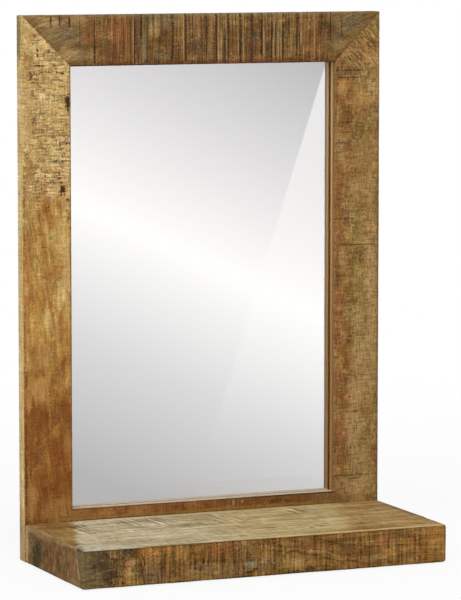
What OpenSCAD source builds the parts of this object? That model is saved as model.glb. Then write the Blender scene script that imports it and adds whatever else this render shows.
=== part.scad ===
// Wall mirror in a mitred frame of rough-sawn hardwood boards, with a thick shelf across its foot.
// Millimetres. The origin is at the middle of the underside; +X is to the viewer's right,
// +Y points into the wall and +Z is up. The mirror faces -Y.

/* [Frame] */
// Overall width of the frame and of the shelf
frame_w = 500; // [440:10:700]
// Overall height of the frame
frame_h = 700; // [560:10:1000]
// Width of each frame board, from its outer edge to the opening
board_w = 66; // [62:1:90]
// Thickness of each frame board
board_t = 22; // [20:1:30]
// Rounding of the frame's outer edges and corners
edge_r = 3; // [1:0.5:5]
// Rounding of the edge round the opening
sight_r = 1.5; // [0.5:0.5:3]

/* [Corner joints] */
// Length of the flat biscuit glued across each mitre
biscuit_l = 56; // [44:1:60]
// Width of the biscuit, half of it in each board
biscuit_w = 23; // [16:1:24]
// Thickness of the biscuit
biscuit_t = 4; // [3:0.5:5]
// Depth of the biscuit's middle behind the front of the frame
biscuit_in = 7; // [6:0.5:8]
// Radius of the biscuit's two long curved edges
biscuit_arc_r = 50; // [40:1:60]

/* [Mirror] */
// Thickness of the mirror glass
glass_t = 4; // [3:0.5:5]
// Thickness of the silver and paint on the back of the glass
silver_t = 0.2; // [0.1:0.1:0.5]
// How far the frame's lip laps over the glass pocket on each side
glass_lap = 8; // [6:1:10]

/* [Back panel] */
// Thickness of the hardboard panel behind the glass
panel_t = 3; // [2:0.5:4]
// Width of the wooden step that the panel is screwed to
panel_lap = 10; // [8:1:12]
// How far the panel lies below the back of the frame
panel_in = 0.8; // [0.2:0.2:1.4]
// Distance from the panel pocket's corner to the first screw
panel_screw_in = 45; // [35:1:60]
// Number of screws up each side of the panel
panel_screws_up = 4; // [3:1:6]
// Number of screws along the top and the bottom of the panel
panel_screws_across = 3; // [2:1:5]

/* [Small screws] */
// Radius of the small screws' countersunk heads
small_head_r = 3.2; // [2.8:0.1:3.4]
// Radius of the small screws' shanks
small_shank_r = 1.5; // [1.2:0.1:1.7]
// Overall length of the small screws
small_screw_l = 14; // [10:1:15]

/* [Wall hangers] */
// Length of the keyhole plate let into the back of each stile
plate_l = 46; // [44:1:56]
// Width of the keyhole plate
plate_w = 18; // [16:1:20]
// Thickness of the keyhole plate
plate_t = 2; // [1.5:0.5:3]
// Radius of the keyhole's round entry, which a wall screw's head passes
entry_r = 5; // [4:0.5:5]
// Half the width of the keyhole's slot, which the wall screw's shank fits
slot_r = 2.5; // [2.1:0.1:3]
// Rise from the keyhole's entry to the top end of its slot
slot_rise = 11; // [9:1:13]
// Distance from the top of the frame down to the middle of each plate
plate_drop = 110; // [90:5:160]
// Distance from the middle of the plate to each of its two screws
plate_screw_out = 16.5; // [16:0.5:18]
// Half the width of the pocket behind the keyhole
pocket_r = 6.5; // [5.5:0.5:7.5]
// Depth of that pocket below the back of the frame
pocket_d = 11; // [8:1:14]

/* [Shelf] */
// Thickness of the shelf
shelf_t = 50; // [40:1:56]
// Depth of the shelf in front of the frame
shelf_d = 208; // [150:2:260]
// Depth of the front one of the two staves that the shelf is glued up from
front_stave_d = 62; // [45:1:90]
// Rounding of the shelf's long edges and ends
shelf_edge_r = 4; // [1:0.5:8]
// Rounding of the shelf's two front corners, seen from above
shelf_corner_r = 6; // [2:0.5:12]
// Rounding of the shelf's edges and corners where they meet the frame
shelf_back_r = 2; // [0.5:0.5:3]

/* [Shelf fixings] */
// Number of long screws through the bottom rail into the shelf
shelf_screws_n = 4; // [2:1:6]
// Overall length of those screws
shelf_screw_l = 70; // [50:5:80]
// Radius of their countersunk heads
shelf_head_r = 5; // [4:0.5:5.5]
// Radius of their shanks
shelf_shank_r = 2.5; // [2:0.25:3]
// How far their heads are sunk below the back of the frame
shelf_head_in = 1; // [0:0.5:3]
// Distance from each end of the shelf to its first screw
shelf_screw_in = 90; // [80:5:110]
// Radius of the wooden dowel near each end of the shelf
dowel_r = 4; // [3:0.5:5]
// Length of the dowel
dowel_l = 40; // [32:1:46]
// Length of the dowel that stands in the frame
dowel_in_frame = 16; // [12:1:17]
// Distance from each end of the shelf to its dowel
dowel_in = 55; // [50:1:60]

/* [Fits] */
// Gap between the edge of the glass and its pocket
glass_gap = 1; // [0.5:0.1:2]
// Gap between the edge of the panel and its pocket
panel_gap = 0.8; // [0.2:0.1:1.5]
// Gap round each biscuit in its slot
biscuit_gap = 0.2; // [0.1:0.05:0.3]
// Gap round each keyhole plate in its recess
plate_gap = 0.2; // [0.1:0.05:0.5]
// Gap round each screw in its hole
screw_gap = 0.05; // [0.02:0.01:0.2]
// Gap round each dowel, and past its ends, in its holes
dowel_gap = 0.1; // [0.05:0.05:0.4]

/* [Hidden] */
$fn = 64;

// Cutting tools run this far past the faces they open
past = 1;

// The back of the frame touches the wall, and the shelf's front edge is the nearest to the viewer
overall_d = board_t + shelf_d;
back_y = overall_d / 2;
front_y = back_y - board_t;
shelf_front_y = front_y - shelf_d;
shelf_seam_y = shelf_front_y + front_stave_d;

// The glass, its coat and the panel lie in two stepped pockets, one behind the other
panel_pocket_d = panel_in + panel_t;
glass_pocket_d = panel_pocket_d + silver_t + glass_t;
glass_pocket_u = board_w - glass_lap;
panel_pocket_u = glass_pocket_u - panel_lap;
panel_screw_u = panel_pocket_u + panel_lap / 2;

// The keyhole plate lies in the middle of the flat left beside the panel's pocket
plate_u = panel_pocket_u / 2;
plate_x = frame_w / 2 - plate_u;
plate_z = frame_h - plate_drop;
entry_z = plate_z - slot_rise / 2;
slot_z = plate_z + slot_rise / 2;

// Long screws and dowels enter the shelf half way up its thickness
shelf_fix_z = shelf_t / 2;
dowel_x = frame_w / 2 - dowel_in;

// Screws have a pointed end and a cross recess in proportion to their own size
tip_l_per_shank_r = 2.5;
tip_r_share = 0.2;
recess_r_share = 0.6;
recess_w_share = 0.2;
recess_d_share = 0.35;
// A dowel's ends are chamfered by this share of its radius
dowel_chamfer_share = 0.25;

wood_gold = [0.62, 0.42, 0.2];
wood_brown = [0.5, 0.32, 0.16];
wood_red = [0.52, 0.27, 0.13];
wood_pale = [0.78, 0.66, 0.44];
beech = [0.84, 0.7, 0.5];
hardboard = [0.36, 0.25, 0.16];
zinc = [0.72, 0.73, 0.75];

// A rectangle with true quarter circles at its corners, drawn from [0, 0] to [w, h]
module rounded_rect(w, h, r) {
    translate([r, 0]) square([w - 2 * r, h]);
    translate([0, r]) square([w, h - 2 * r]);
    for (x = [r, w - r], y = [r, h - r]) translate([x, y]) circle(r);
}

// Cross-section of a frame board: x runs from the outer edge to the opening, and y = 0 is the back
module board_profile() {
    difference() {
        union() {
            translate([0, -board_t]) rounded_rect(board_w - sight_r, board_t, edge_r);
            translate([edge_r, -board_t + sight_r]) square([board_w - edge_r, board_t - sight_r]);
            translate([board_w - 2 * sight_r, -board_t]) square([sight_r, 2 * sight_r]);
            translate([board_w - sight_r, -board_t + sight_r]) circle(sight_r);
        }
        translate([glass_pocket_u, -glass_pocket_d]) square([glass_lap + past, glass_pocket_d + past]);
        translate([panel_pocket_u, -panel_pocket_d])
            square([glass_lap + panel_lap + past, panel_pocket_d + past]);
    }
}

// A board along X with its outer edge on z = 0, its back on y = 0 and both ends cut at 45 degrees
module mitred_board(length) {
    intersection() {
        rotate([0, -90, 0]) linear_extrude(length, center = true) board_profile();
        rotate([90, 0, 0]) linear_extrude(board_t) polygon([
            [-length / 2, 0], [length / 2, 0],
            [length / 2 - board_w, board_w], [-length / 2 + board_w, board_w]]);
    }
}

// The frame's outline with its four corners rounded, as thick as the boards
module frame_outline() {
    translate([-frame_w / 2, back_y, 0]) rotate([90, 0, 0])
        linear_extrude(board_t) rounded_rect(frame_w, frame_h, edge_r);
}

module bottom_board() {
    translate([0, back_y, 0]) mitred_board(frame_w);
}

module left_board() {
    translate([-frame_w / 2, back_y, frame_h / 2]) rotate([0, 90, 0]) mitred_board(frame_h);
}

// A biscuit lying flat in the frame's plane, its length along X, grown all round by the gap given
module biscuit_shape(grow) {
    arc_centre = biscuit_arc_r - biscuit_w / 2;
    translate([0, (biscuit_t + 2 * grow) / 2, 0]) rotate([90, 0, 0])
        linear_extrude(biscuit_t + 2 * grow) intersection() {
            square([biscuit_l + 2 * grow, biscuit_w + 2 * grow], center = true);
            translate([0, -arc_centre]) circle(biscuit_arc_r + grow, $fn = 180);
            translate([0, arc_centre]) circle(biscuit_arc_r + grow, $fn = 180);
        }
}

// The biscuit or its slot in the bottom right corner, along the mitre
module corner_biscuit(grow) {
    translate([frame_w / 2 - board_w / 2, front_y + biscuit_in, board_w / 2])
        rotate([0, 45, 0]) biscuit_shape(grow);
}

// Children drawn in the bottom right corner are put in the corner given: 1 or -1 each way
module to_corner(side, level) {
    mirror([side < 0 ? 1 : 0, 0, 0])
        translate([0, 0, level > 0 ? frame_h : 0]) mirror([0, 0, level > 0 ? 1 : 0]) children();
}

module biscuit_slots() {
    for (side = [-1, 1], level = [-1, 1]) to_corner(side, level) corner_biscuit(biscuit_gap);
}

// A countersunk screw with its head's flat face on z = 0 and its point below
module screw(head_r, shank_r, length) {
    tip_l = tip_l_per_shank_r * shank_r;
    difference() {
        union() {
            translate([0, 0, shank_r - head_r]) cylinder(h = head_r - shank_r, r1 = shank_r, r2 = head_r);
            translate([0, 0, tip_l - length]) cylinder(h = length - tip_l, r = shank_r);
            translate([0, 0, -length]) cylinder(h = tip_l, r1 = shank_r * tip_r_share, r2 = shank_r);
        }
        for (turn = [0, 90]) rotate([0, 0, turn])
            translate([-head_r * recess_r_share, -head_r * recess_w_share / 2, -head_r * recess_d_share])
                cube([2 * head_r * recess_r_share, head_r * recess_w_share, head_r]);
    }
}

// The hole that such a screw fills, with the gap round it; it opens past z = 0 for a sunk head
module screw_hole(head_r, shank_r, length, sink) {
    translate([0, 0, shank_r - head_r])
        cylinder(h = head_r - shank_r, r1 = shank_r + screw_gap, r2 = head_r + screw_gap);
    translate([0, 0, -length - screw_gap])
        cylinder(h = length + screw_gap - (head_r - shank_r) / 2, r = shank_r + screw_gap);
    if (sink > 0) cylinder(h = sink + past, r = head_r + screw_gap);
}

module small_screw() {
    screw(small_head_r, small_shank_r, small_screw_l);
}

module small_screw_hole() {
    screw_hole(small_head_r, small_shank_r, small_screw_l, 0);
}

// Puts children at each screw of the back panel, heads to the back
module at_panel_screws() {
    x_out = frame_w / 2 - panel_screw_u;
    x_end = frame_w / 2 - panel_pocket_u - panel_screw_in;
    z_low = panel_pocket_u + panel_screw_in;
    z_step = (frame_h - 2 * z_low) / (panel_screws_up - 1);
    x_step = 2 * x_end / (panel_screws_across - 1);
    for (side = [-1, 1], i = [0 : panel_screws_up - 1])
        translate([side * x_out, back_y - panel_in, z_low + i * z_step]) rotate([-90, 0, 0]) children();
    for (z = [panel_screw_u, frame_h - panel_screw_u], i = [0 : panel_screws_across - 1])
        translate([-x_end + i * x_step, back_y - panel_in, z]) rotate([-90, 0, 0]) children();
}

// Puts children at the two screws of the keyhole plate on the side given
module at_hanger_screws(side) {
    for (end = [-1, 1])
        translate([side * plate_x, back_y, plate_z + end * plate_screw_out]) rotate([-90, 0, 0]) children();
}

// Puts children at each long screw of the shelf, heads to the back
module at_shelf_screws() {
    x_end = frame_w / 2 - shelf_screw_in;
    x_step = 2 * x_end / (shelf_screws_n - 1);
    for (i = [0 : shelf_screws_n - 1])
        translate([-x_end + i * x_step, back_y - shelf_head_in, shelf_fix_z])
            rotate([-90, 0, 0]) children();
}

module shelf_screw_holes() {
    at_shelf_screws() screw_hole(shelf_head_r, shelf_shank_r, shelf_screw_l, shelf_head_in);
}

// The hole for the dowel on the side given, partly in the frame and partly in the shelf
module dowel_hole(side) {
    translate([side * dowel_x, front_y + dowel_in_frame + dowel_gap, shelf_fix_z])
        rotate([90, 0, 0]) cylinder(h = dowel_l + 2 * dowel_gap, r = dowel_r + dowel_gap);
}

module dowel(side) {
    chamfer = dowel_r * dowel_chamfer_share;
    translate([side * dowel_x, front_y + dowel_in_frame, shelf_fix_z]) rotate([90, 0, 0]) {
        cylinder(h = chamfer, r1 = dowel_r - chamfer, r2 = dowel_r);
        translate([0, 0, chamfer]) cylinder(h = dowel_l - 2 * chamfer, r = dowel_r);
        translate([0, 0, dowel_l - chamfer]) cylinder(h = chamfer, r1 = dowel_r, r2 = dowel_r - chamfer);
    }
}

// A bar with half-round ends between two heights, in the plane of the frame's back, going in by depth
module upright_slot(r, z_low, z_high, depth) {
    for (z = [z_low, z_high]) translate([0, 0, z]) rotate([90, 0, 0]) cylinder(h = depth, r = r);
    translate([-r, -depth, z_low]) cube([2 * r, depth, z_high - z_low]);
}

// The keyhole plate's outline with half-round ends, its back face on y = 0
module plate_blank(grow, thickness) {
    upright_slot(plate_w / 2 + grow, plate_z - (plate_l - plate_w) / 2,
        plate_z + (plate_l - plate_w) / 2, thickness);
}

// The recess for the plate, the pocket for the wall screw's head and the pilot holes for its screws
module hanger_cut(side) {
    translate([side * plate_x, back_y, 0]) {
        plate_blank(plate_gap, plate_t);
        upright_slot(pocket_r, entry_z, slot_z, pocket_d);
    }
    at_hanger_screws(side) small_screw_hole();
}

module hanger_plate(side) {
    color(zinc) difference() {
        translate([side * plate_x, back_y, 0]) difference() {
            plate_blank(0, plate_t);
            translate([0, past, entry_z]) rotate([90, 0, 0]) cylinder(h = plate_t + 2 * past, r = entry_r);
            translate([0, past, 0]) upright_slot(slot_r, entry_z, slot_z, plate_t + 2 * past);
        }
        at_hanger_screws(side) small_screw_hole();
    }
}

// A stile as it is seen on the left; the right one is its mirror image
module stile() {
    difference() {
        intersection() {
            left_board();
            frame_outline();
        }
        biscuit_slots();
        at_panel_screws() small_screw_hole();
        hanger_cut(-1);
    }
}

module left_stile() {
    color(wood_gold) stile();
}

module right_stile() {
    color(wood_brown) mirror([1, 0, 0]) stile();
}

module top_rail() {
    color(wood_brown) difference() {
        intersection() {
            translate([0, 0, frame_h]) mirror([0, 0, 1]) bottom_board();
            frame_outline();
        }
        biscuit_slots();
        at_panel_screws() small_screw_hole();
    }
}

module bottom_rail() {
    color(wood_red) difference() {
        intersection() {
            bottom_board();
            frame_outline();
        }
        biscuit_slots();
        at_panel_screws() small_screw_hole();
        shelf_screw_holes();
        for (side = [-1, 1]) dowel_hole(side);
    }
}

module corner_biscuit_at(side, level) {
    color(beech) to_corner(side, level) corner_biscuit(0);
}

// A sheet in the frame's pockets: how far its edge lies in from the frame's outside, its back and thickness
module pocket_sheet(edge_u, back_d, thickness) {
    translate([edge_u - frame_w / 2, back_y - back_d - thickness, edge_u])
        cube([frame_w - 2 * edge_u, thickness, frame_h - 2 * edge_u]);
}

module mirror_glass() {
    color([0.8, 0.88, 0.88, 0.5]) pocket_sheet(glass_pocket_u + glass_gap, panel_pocket_d + silver_t, glass_t);
}

module silver_coat() {
    color([0.9, 0.92, 0.93]) pocket_sheet(glass_pocket_u + glass_gap, panel_pocket_d, silver_t);
}

module back_panel() {
    color(hardboard) difference() {
        pocket_sheet(panel_pocket_u + panel_gap, panel_in, panel_t);
        at_panel_screws() small_screw_hole();
    }
}

module back_panel_screws() {
    color(zinc) at_panel_screws() small_screw();
}

module hanger_screws() {
    color(zinc) for (side = [-1, 1]) at_hanger_screws(side) small_screw();
}

// The whole shelf before it is parted into staves: three rounded outlines crossed
module shelf_block() {
    intersection() {
        translate([-frame_w / 2, front_y, 0]) rotate([90, 0, 0])
            linear_extrude(shelf_d) rounded_rect(frame_w, shelf_t, shelf_edge_r);
        rotate([90, 0, 90]) linear_extrude(frame_w, center = true) union() {
            translate([shelf_front_y, 0]) rounded_rect(shelf_d - shelf_edge_r, shelf_t, shelf_edge_r);
            translate([shelf_front_y + shelf_d / 2, 0]) rounded_rect(shelf_d / 2, shelf_t, shelf_back_r);
        }
        linear_extrude(shelf_t) union() {
            translate([-frame_w / 2, shelf_front_y])
                rounded_rect(frame_w, shelf_d - shelf_corner_r, shelf_corner_r);
            translate([-frame_w / 2, shelf_front_y + shelf_d / 2])
                rounded_rect(frame_w, shelf_d / 2, shelf_back_r);
        }
    }
}

// A stave is the part of the shelf between two depths
module stave(y_front, y_back) {
    intersection() {
        shelf_block();
        translate([-frame_w / 2 - past, y_front, -past])
            cube([frame_w + 2 * past, y_back - y_front, shelf_t + 2 * past]);
    }
}

module shelf_back_stave() {
    color(wood_pale) difference() {
        stave(shelf_seam_y, front_y);
        shelf_screw_holes();
        for (side = [-1, 1]) dowel_hole(side);
    }
}

module shelf_front_stave() {
    color(wood_brown) stave(shelf_front_y, shelf_seam_y);
}

module shelf_screws() {
    color(zinc) at_shelf_screws() screw(shelf_head_r, shelf_shank_r, shelf_screw_l);
}

left_stile();
right_stile();
top_rail();
bottom_rail();
corner_biscuit_at(-1, 1);  // corner_biscuit_top_left
corner_biscuit_at(1, 1);  // corner_biscuit_top_right
corner_biscuit_at(-1, -1);  // corner_biscuit_bottom_left
corner_biscuit_at(1, -1);  // corner_biscuit_bottom_right
mirror_glass();
silver_coat();
back_panel();
back_panel_screws();
hanger_plate(-1);  // hanger_plate_left
hanger_plate(1);  // hanger_plate_right
hanger_screws();
shelf_back_stave();
shelf_front_stave();
color(beech) dowel(-1);  // shelf_dowel_left
color(beech) dowel(1);  // shelf_dowel_right
shelf_screws();
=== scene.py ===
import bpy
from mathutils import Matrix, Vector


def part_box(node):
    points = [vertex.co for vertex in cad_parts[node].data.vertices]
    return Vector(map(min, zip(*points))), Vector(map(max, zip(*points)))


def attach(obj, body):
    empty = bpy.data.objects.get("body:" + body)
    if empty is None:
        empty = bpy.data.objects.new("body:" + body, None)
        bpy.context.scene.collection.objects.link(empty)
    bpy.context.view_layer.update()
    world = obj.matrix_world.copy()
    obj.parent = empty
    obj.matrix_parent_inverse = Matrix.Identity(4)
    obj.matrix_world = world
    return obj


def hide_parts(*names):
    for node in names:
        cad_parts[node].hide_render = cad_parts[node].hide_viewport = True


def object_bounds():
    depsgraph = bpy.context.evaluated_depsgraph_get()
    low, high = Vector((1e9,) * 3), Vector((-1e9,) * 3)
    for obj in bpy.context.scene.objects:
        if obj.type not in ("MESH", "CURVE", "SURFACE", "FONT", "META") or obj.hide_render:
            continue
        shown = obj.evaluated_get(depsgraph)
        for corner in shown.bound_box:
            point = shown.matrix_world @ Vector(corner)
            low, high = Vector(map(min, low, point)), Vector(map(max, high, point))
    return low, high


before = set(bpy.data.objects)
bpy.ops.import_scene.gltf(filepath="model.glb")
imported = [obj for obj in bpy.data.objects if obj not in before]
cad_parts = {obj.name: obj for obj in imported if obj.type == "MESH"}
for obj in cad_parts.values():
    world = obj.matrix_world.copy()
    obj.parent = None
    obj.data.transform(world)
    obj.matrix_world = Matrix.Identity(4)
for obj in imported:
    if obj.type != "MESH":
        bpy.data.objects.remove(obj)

import copy
import math

import bmesh
import bpy

cad_low, cad_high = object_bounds()
scene = bpy.context.scene

# The left stile is one upright board of golden, figured hardwood. It was sawn rough, mitred at both
# ends, eased along its edges by hand and lacquered satin. The CAD solid trims the worn block, so that
# the back, the pockets and the holes are its own.
ALONG_X = (0, 2, 1)
ALONG_Z = (2, 0, 1)
PAST = 0.005
NEAR = 0.00001
BOARD_STEP = 0.0015
OUTER_ROUND = 0.003
SIGHT_ROUND = 0.0015
SAW_PITCH = 0.0045
SAW_SPREAD = 0.25
SAW_DEPTH = 0.0004
WAVE_LENGTH = 0.09
WAVE_SPREAD = 0.03
WAVE_DEPTH = 0.0003
WOOD_RELIEF = 0.0003
GROOVE = 0.0013
stile_low, stile_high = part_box("left_stile")
front_y = stile_low.y
side_x = stile_low.x
board_w = stile_high.x - stile_low.x
top_z = cad_high.z
mitres = [
    (x, z)
    for x in (side_x + board_w / 2, -side_x - board_w / 2)
    for z in (board_w / 2, top_z - board_w / 2)
]


def block(name, low, high):
    """A plain block between two corners, with its place in its mesh."""
    bpy.ops.object.select_all(action="DESELECT")
    bpy.ops.mesh.primitive_cube_add(
        size=1,
        location=[(a + b) / 2 for a, b in zip(low, high)],
        scale=[b - a for a, b in zip(low, high)],
    )
    bpy.ops.object.transform_apply(location=True, rotation=False, scale=True)
    made = bpy.context.object
    made.name = made.data.name = name
    return made


def pick_edges(piece, wanted):
    """Opens a piece and selects the edges that pass a test of their middle and their run."""
    bpy.context.view_layer.objects.active = piece
    bpy.ops.object.mode_set(mode="EDIT")
    bpy.ops.mesh.select_mode(type="EDGE")
    bpy.ops.mesh.select_all(action="DESELECT")
    shape = bmesh.from_edit_mesh(piece.data)
    for edge in shape.edges:
        start, end = (corner.co for corner in edge.verts)
        edge.select_set(wanted((start + end) / 2, end - start))
    bmesh.update_edit_mesh(piece.data)


def runs_along(run, axis):
    return abs(run[axis]) > 0.99 * run.length


def round_edges(piece, radius, segments, wanted):
    pick_edges(piece, wanted)
    bpy.ops.mesh.bevel(offset=radius, segments=segments, profile=0.5, affect="EDGES")
    bpy.ops.object.mode_set(mode="OBJECT")


def divide(piece, axis, step, wanted=lambda middle: True):
    """Cuts the edges that run along an axis into lengths of about one step, in two rounds."""
    places = [corner.co[axis] for corner in piece.data.vertices]
    parts = (max(places) - min(places)) / step
    first = math.ceil(math.sqrt(parts))
    for cuts in (first - 1, math.ceil(parts / first) - 1):
        pick_edges(
            piece, lambda middle, run: runs_along(run, axis) and run.length > step and wanted(middle)
        )
        bpy.ops.mesh.subdivide(number_cuts=cuts)
    bpy.ops.object.mode_set(mode="OBJECT")


def press(piece, lump, place, depth):
    """Presses a cloud pattern into a piece, to a depth at most. lump is the pattern's size each way.
    The middle level is past 1, so that even the palest cloud stays inside the block."""
    clouds = bpy.data.textures.new("clouds", "CLOUDS")
    clouds.noise_scale = 1
    clouds.noise_depth = 1
    gauge = bpy.data.objects.new("gauge", None)
    gauge.location = place
    gauge.scale = lump
    scene.collection.objects.link(gauge)
    bpy.context.view_layer.update()
    dent = piece.modifiers.new("dent", "DISPLACE")
    dent.texture = clouds
    dent.texture_coords = "OBJECT"
    dent.texture_coords_object = gauge
    dent.mid_level = 1.05
    dent.strength = depth
    bpy.context.view_layer.objects.active = piece
    bpy.ops.object.modifier_apply(modifier=dent.name)
    bpy.data.objects.remove(gauge)
    bpy.data.textures.remove(clouds)


def combine(piece, other, operation):
    """Applies a Boolean with another object, which is used up."""
    cut = piece.modifiers.new("cut", "BOOLEAN")
    cut.operation = operation
    cut.solver = "MANIFOLD"
    cut.object = other
    bpy.context.view_layer.objects.active = piece
    bpy.ops.object.modifier_apply(modifier=cut.name)
    bpy.data.objects.remove(other)


def copy_solid(name, node):
    """A copy of a CAD solid's mesh with its loose triangles joined up."""
    solid = bpy.data.objects.new(name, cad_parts[node].data.copy())
    scene.collection.objects.link(solid)
    bpy.ops.object.select_all(action="DESELECT")
    solid.select_set(True)
    bpy.context.view_layer.objects.active = solid
    bpy.ops.object.mode_set(mode="EDIT")
    bpy.ops.mesh.select_all(action="SELECT")
    bpy.ops.mesh.remove_doubles(threshold=1e-6)
    bpy.ops.object.mode_set(mode="OBJECT")
    return solid


def trim(piece, node):
    """Trims a worn block by its CAD solid, which gives it its joints, pockets and holes."""
    combine(piece, copy_solid("trim", node), "INTERSECT")


def groove_mitre(piece, x, z):
    """Cuts the fine V of two eased arrises along the mitre through one corner of the frame."""
    bpy.ops.object.select_all(action="DESELECT")
    bpy.ops.mesh.primitive_cube_add(
        size=1,
        location=(x, front_y, z),
        rotation=(0, math.radians(45 if x * (z - top_z / 2) > 0 else -45), 0),
        scale=(GROOVE, GROOVE, 3 * board_w),
    )
    bar = bpy.context.object
    bpy.ops.object.transform_apply(location=False, rotation=False, scale=True)
    bpy.ops.object.mode_set(mode="EDIT")
    bpy.ops.transform.rotate(
        value=math.radians(45), orient_axis="Z", orient_type="LOCAL", center_override=(x, front_y, z)
    )
    bpy.ops.object.mode_set(mode="OBJECT")
    bpy.ops.object.transform_apply(location=True, rotation=True, scale=True)
    combine(piece, bar, "DIFFERENCE")


def sawn_board(node, along, outer, seed):
    """A frame board that runs along one axis: a block that is rounded, sawn and worn, trimmed by its
    CAD solid and grooved at its mitres. outer is 0 or 1: its outer edge is the lower or the higher."""
    across = 2 - along
    ends = [list(corner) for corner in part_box(node)]
    low, high = ends
    low[along] -= PAST
    high[along] += PAST
    high[1] += PAST
    board = block(f"{node}_board", low, high)
    for place, radius in ((ends[outer][across], OUTER_ROUND), (ends[1 - outer][across], SIGHT_ROUND)):
        round_edges(
            board,
            radius,
            4,
            lambda middle, run: runs_along(run, along)
            and middle.y < front_y + NEAR
            and abs(middle[across] - place) < NEAR,
        )
    divide(board, along, BOARD_STEP)
    divide(board, across, BOARD_STEP, lambda middle: middle.y < front_y + NEAR)
    divide(board, 1, 1.5 * BOARD_STEP)
    saw_lump = [SAW_SPREAD] * 3
    saw_lump[along] = SAW_PITCH
    wave_lump = [WAVE_SPREAD] * 3
    wave_lump[along] = WAVE_LENGTH
    press(board, saw_lump, (seed, 0, seed), SAW_DEPTH)
    press(board, wave_lump, (0, seed, 0), WAVE_DEPTH)
    trim(board, node)
    for x, z in mitres:
        if low[0] < x < high[0] and low[2] < z < high[2]:
            groove_mitre(board, x, z)
    return board


class Level:
    """A number, colour or direction that varies over a piece. A sum on it adds its Math nodes."""

    def __init__(self, nodes, socket):
        self.nodes = nodes
        self.socket = socket

    def sum(self, operation, first, second):
        return self.nodes.node("ShaderNodeMath", {"operation": operation}, {0: first, 1: second})

    def __add__(self, other):
        return self.sum("ADD", self, other)

    def __radd__(self, other):
        return self.sum("ADD", other, self)

    def __sub__(self, other):
        return self.sum("SUBTRACT", self, other)

    def __rsub__(self, other):
        return self.sum("SUBTRACT", other, self)

    def __mul__(self, other):
        return self.sum("MULTIPLY", self, other)

    def __rmul__(self, other):
        return self.sum("MULTIPLY", other, self)

    def __abs__(self):
        return self.sum("ABSOLUTE", self, 0)

    def larger(self, other):
        return self.sum("MAXIMUM", self, other)


def tint(red, green, blue):
    """A colour card's reading, 0 to 255, as the linear colour that a shader takes."""
    return tuple(((c / 255 + 0.055) / 1.055) ** 2.4 for c in (red, green, blue)) + (1.0,)


class Nodes:
    """The node tree of a material or of the world, and the one way to add to it."""

    def __init__(self, tree):
        self.tree = tree

    def fill(self, node, inputs):
        """Gives a node's sockets their links or their plain values."""
        for key, value in inputs.items():
            if isinstance(value, Level):
                self.tree.links.new(value.socket, node.inputs[key])
            else:
                node.inputs[key].default_value = value

    def node(self, kind, settings=None, inputs=None, output=0):
        """Adds a node, with its settings first and then its sockets, and gives one of its outputs."""
        made = self.tree.nodes.new(kind)
        for key, value in (settings or {}).items():
            if key == "stops":
                ramp = made.color_ramp
                while len(ramp.elements) < len(value):
                    ramp.elements.new(0.5)
                for stop, (position, colour) in zip(ramp.elements, value):
                    stop.position = position
                    stop.color = colour
            elif key == "path":
                curve = made.mapping.curves[0]
                for point in value[1:-1]:
                    curve.points.new(*point)
                curve.points[0].location = value[0]
                curve.points[-1].location = value[-1]
                made.mapping.update()
            else:
                setattr(made, key, value)
        self.fill(made, inputs or {})
        return Level(self, made.outputs[output])


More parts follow.
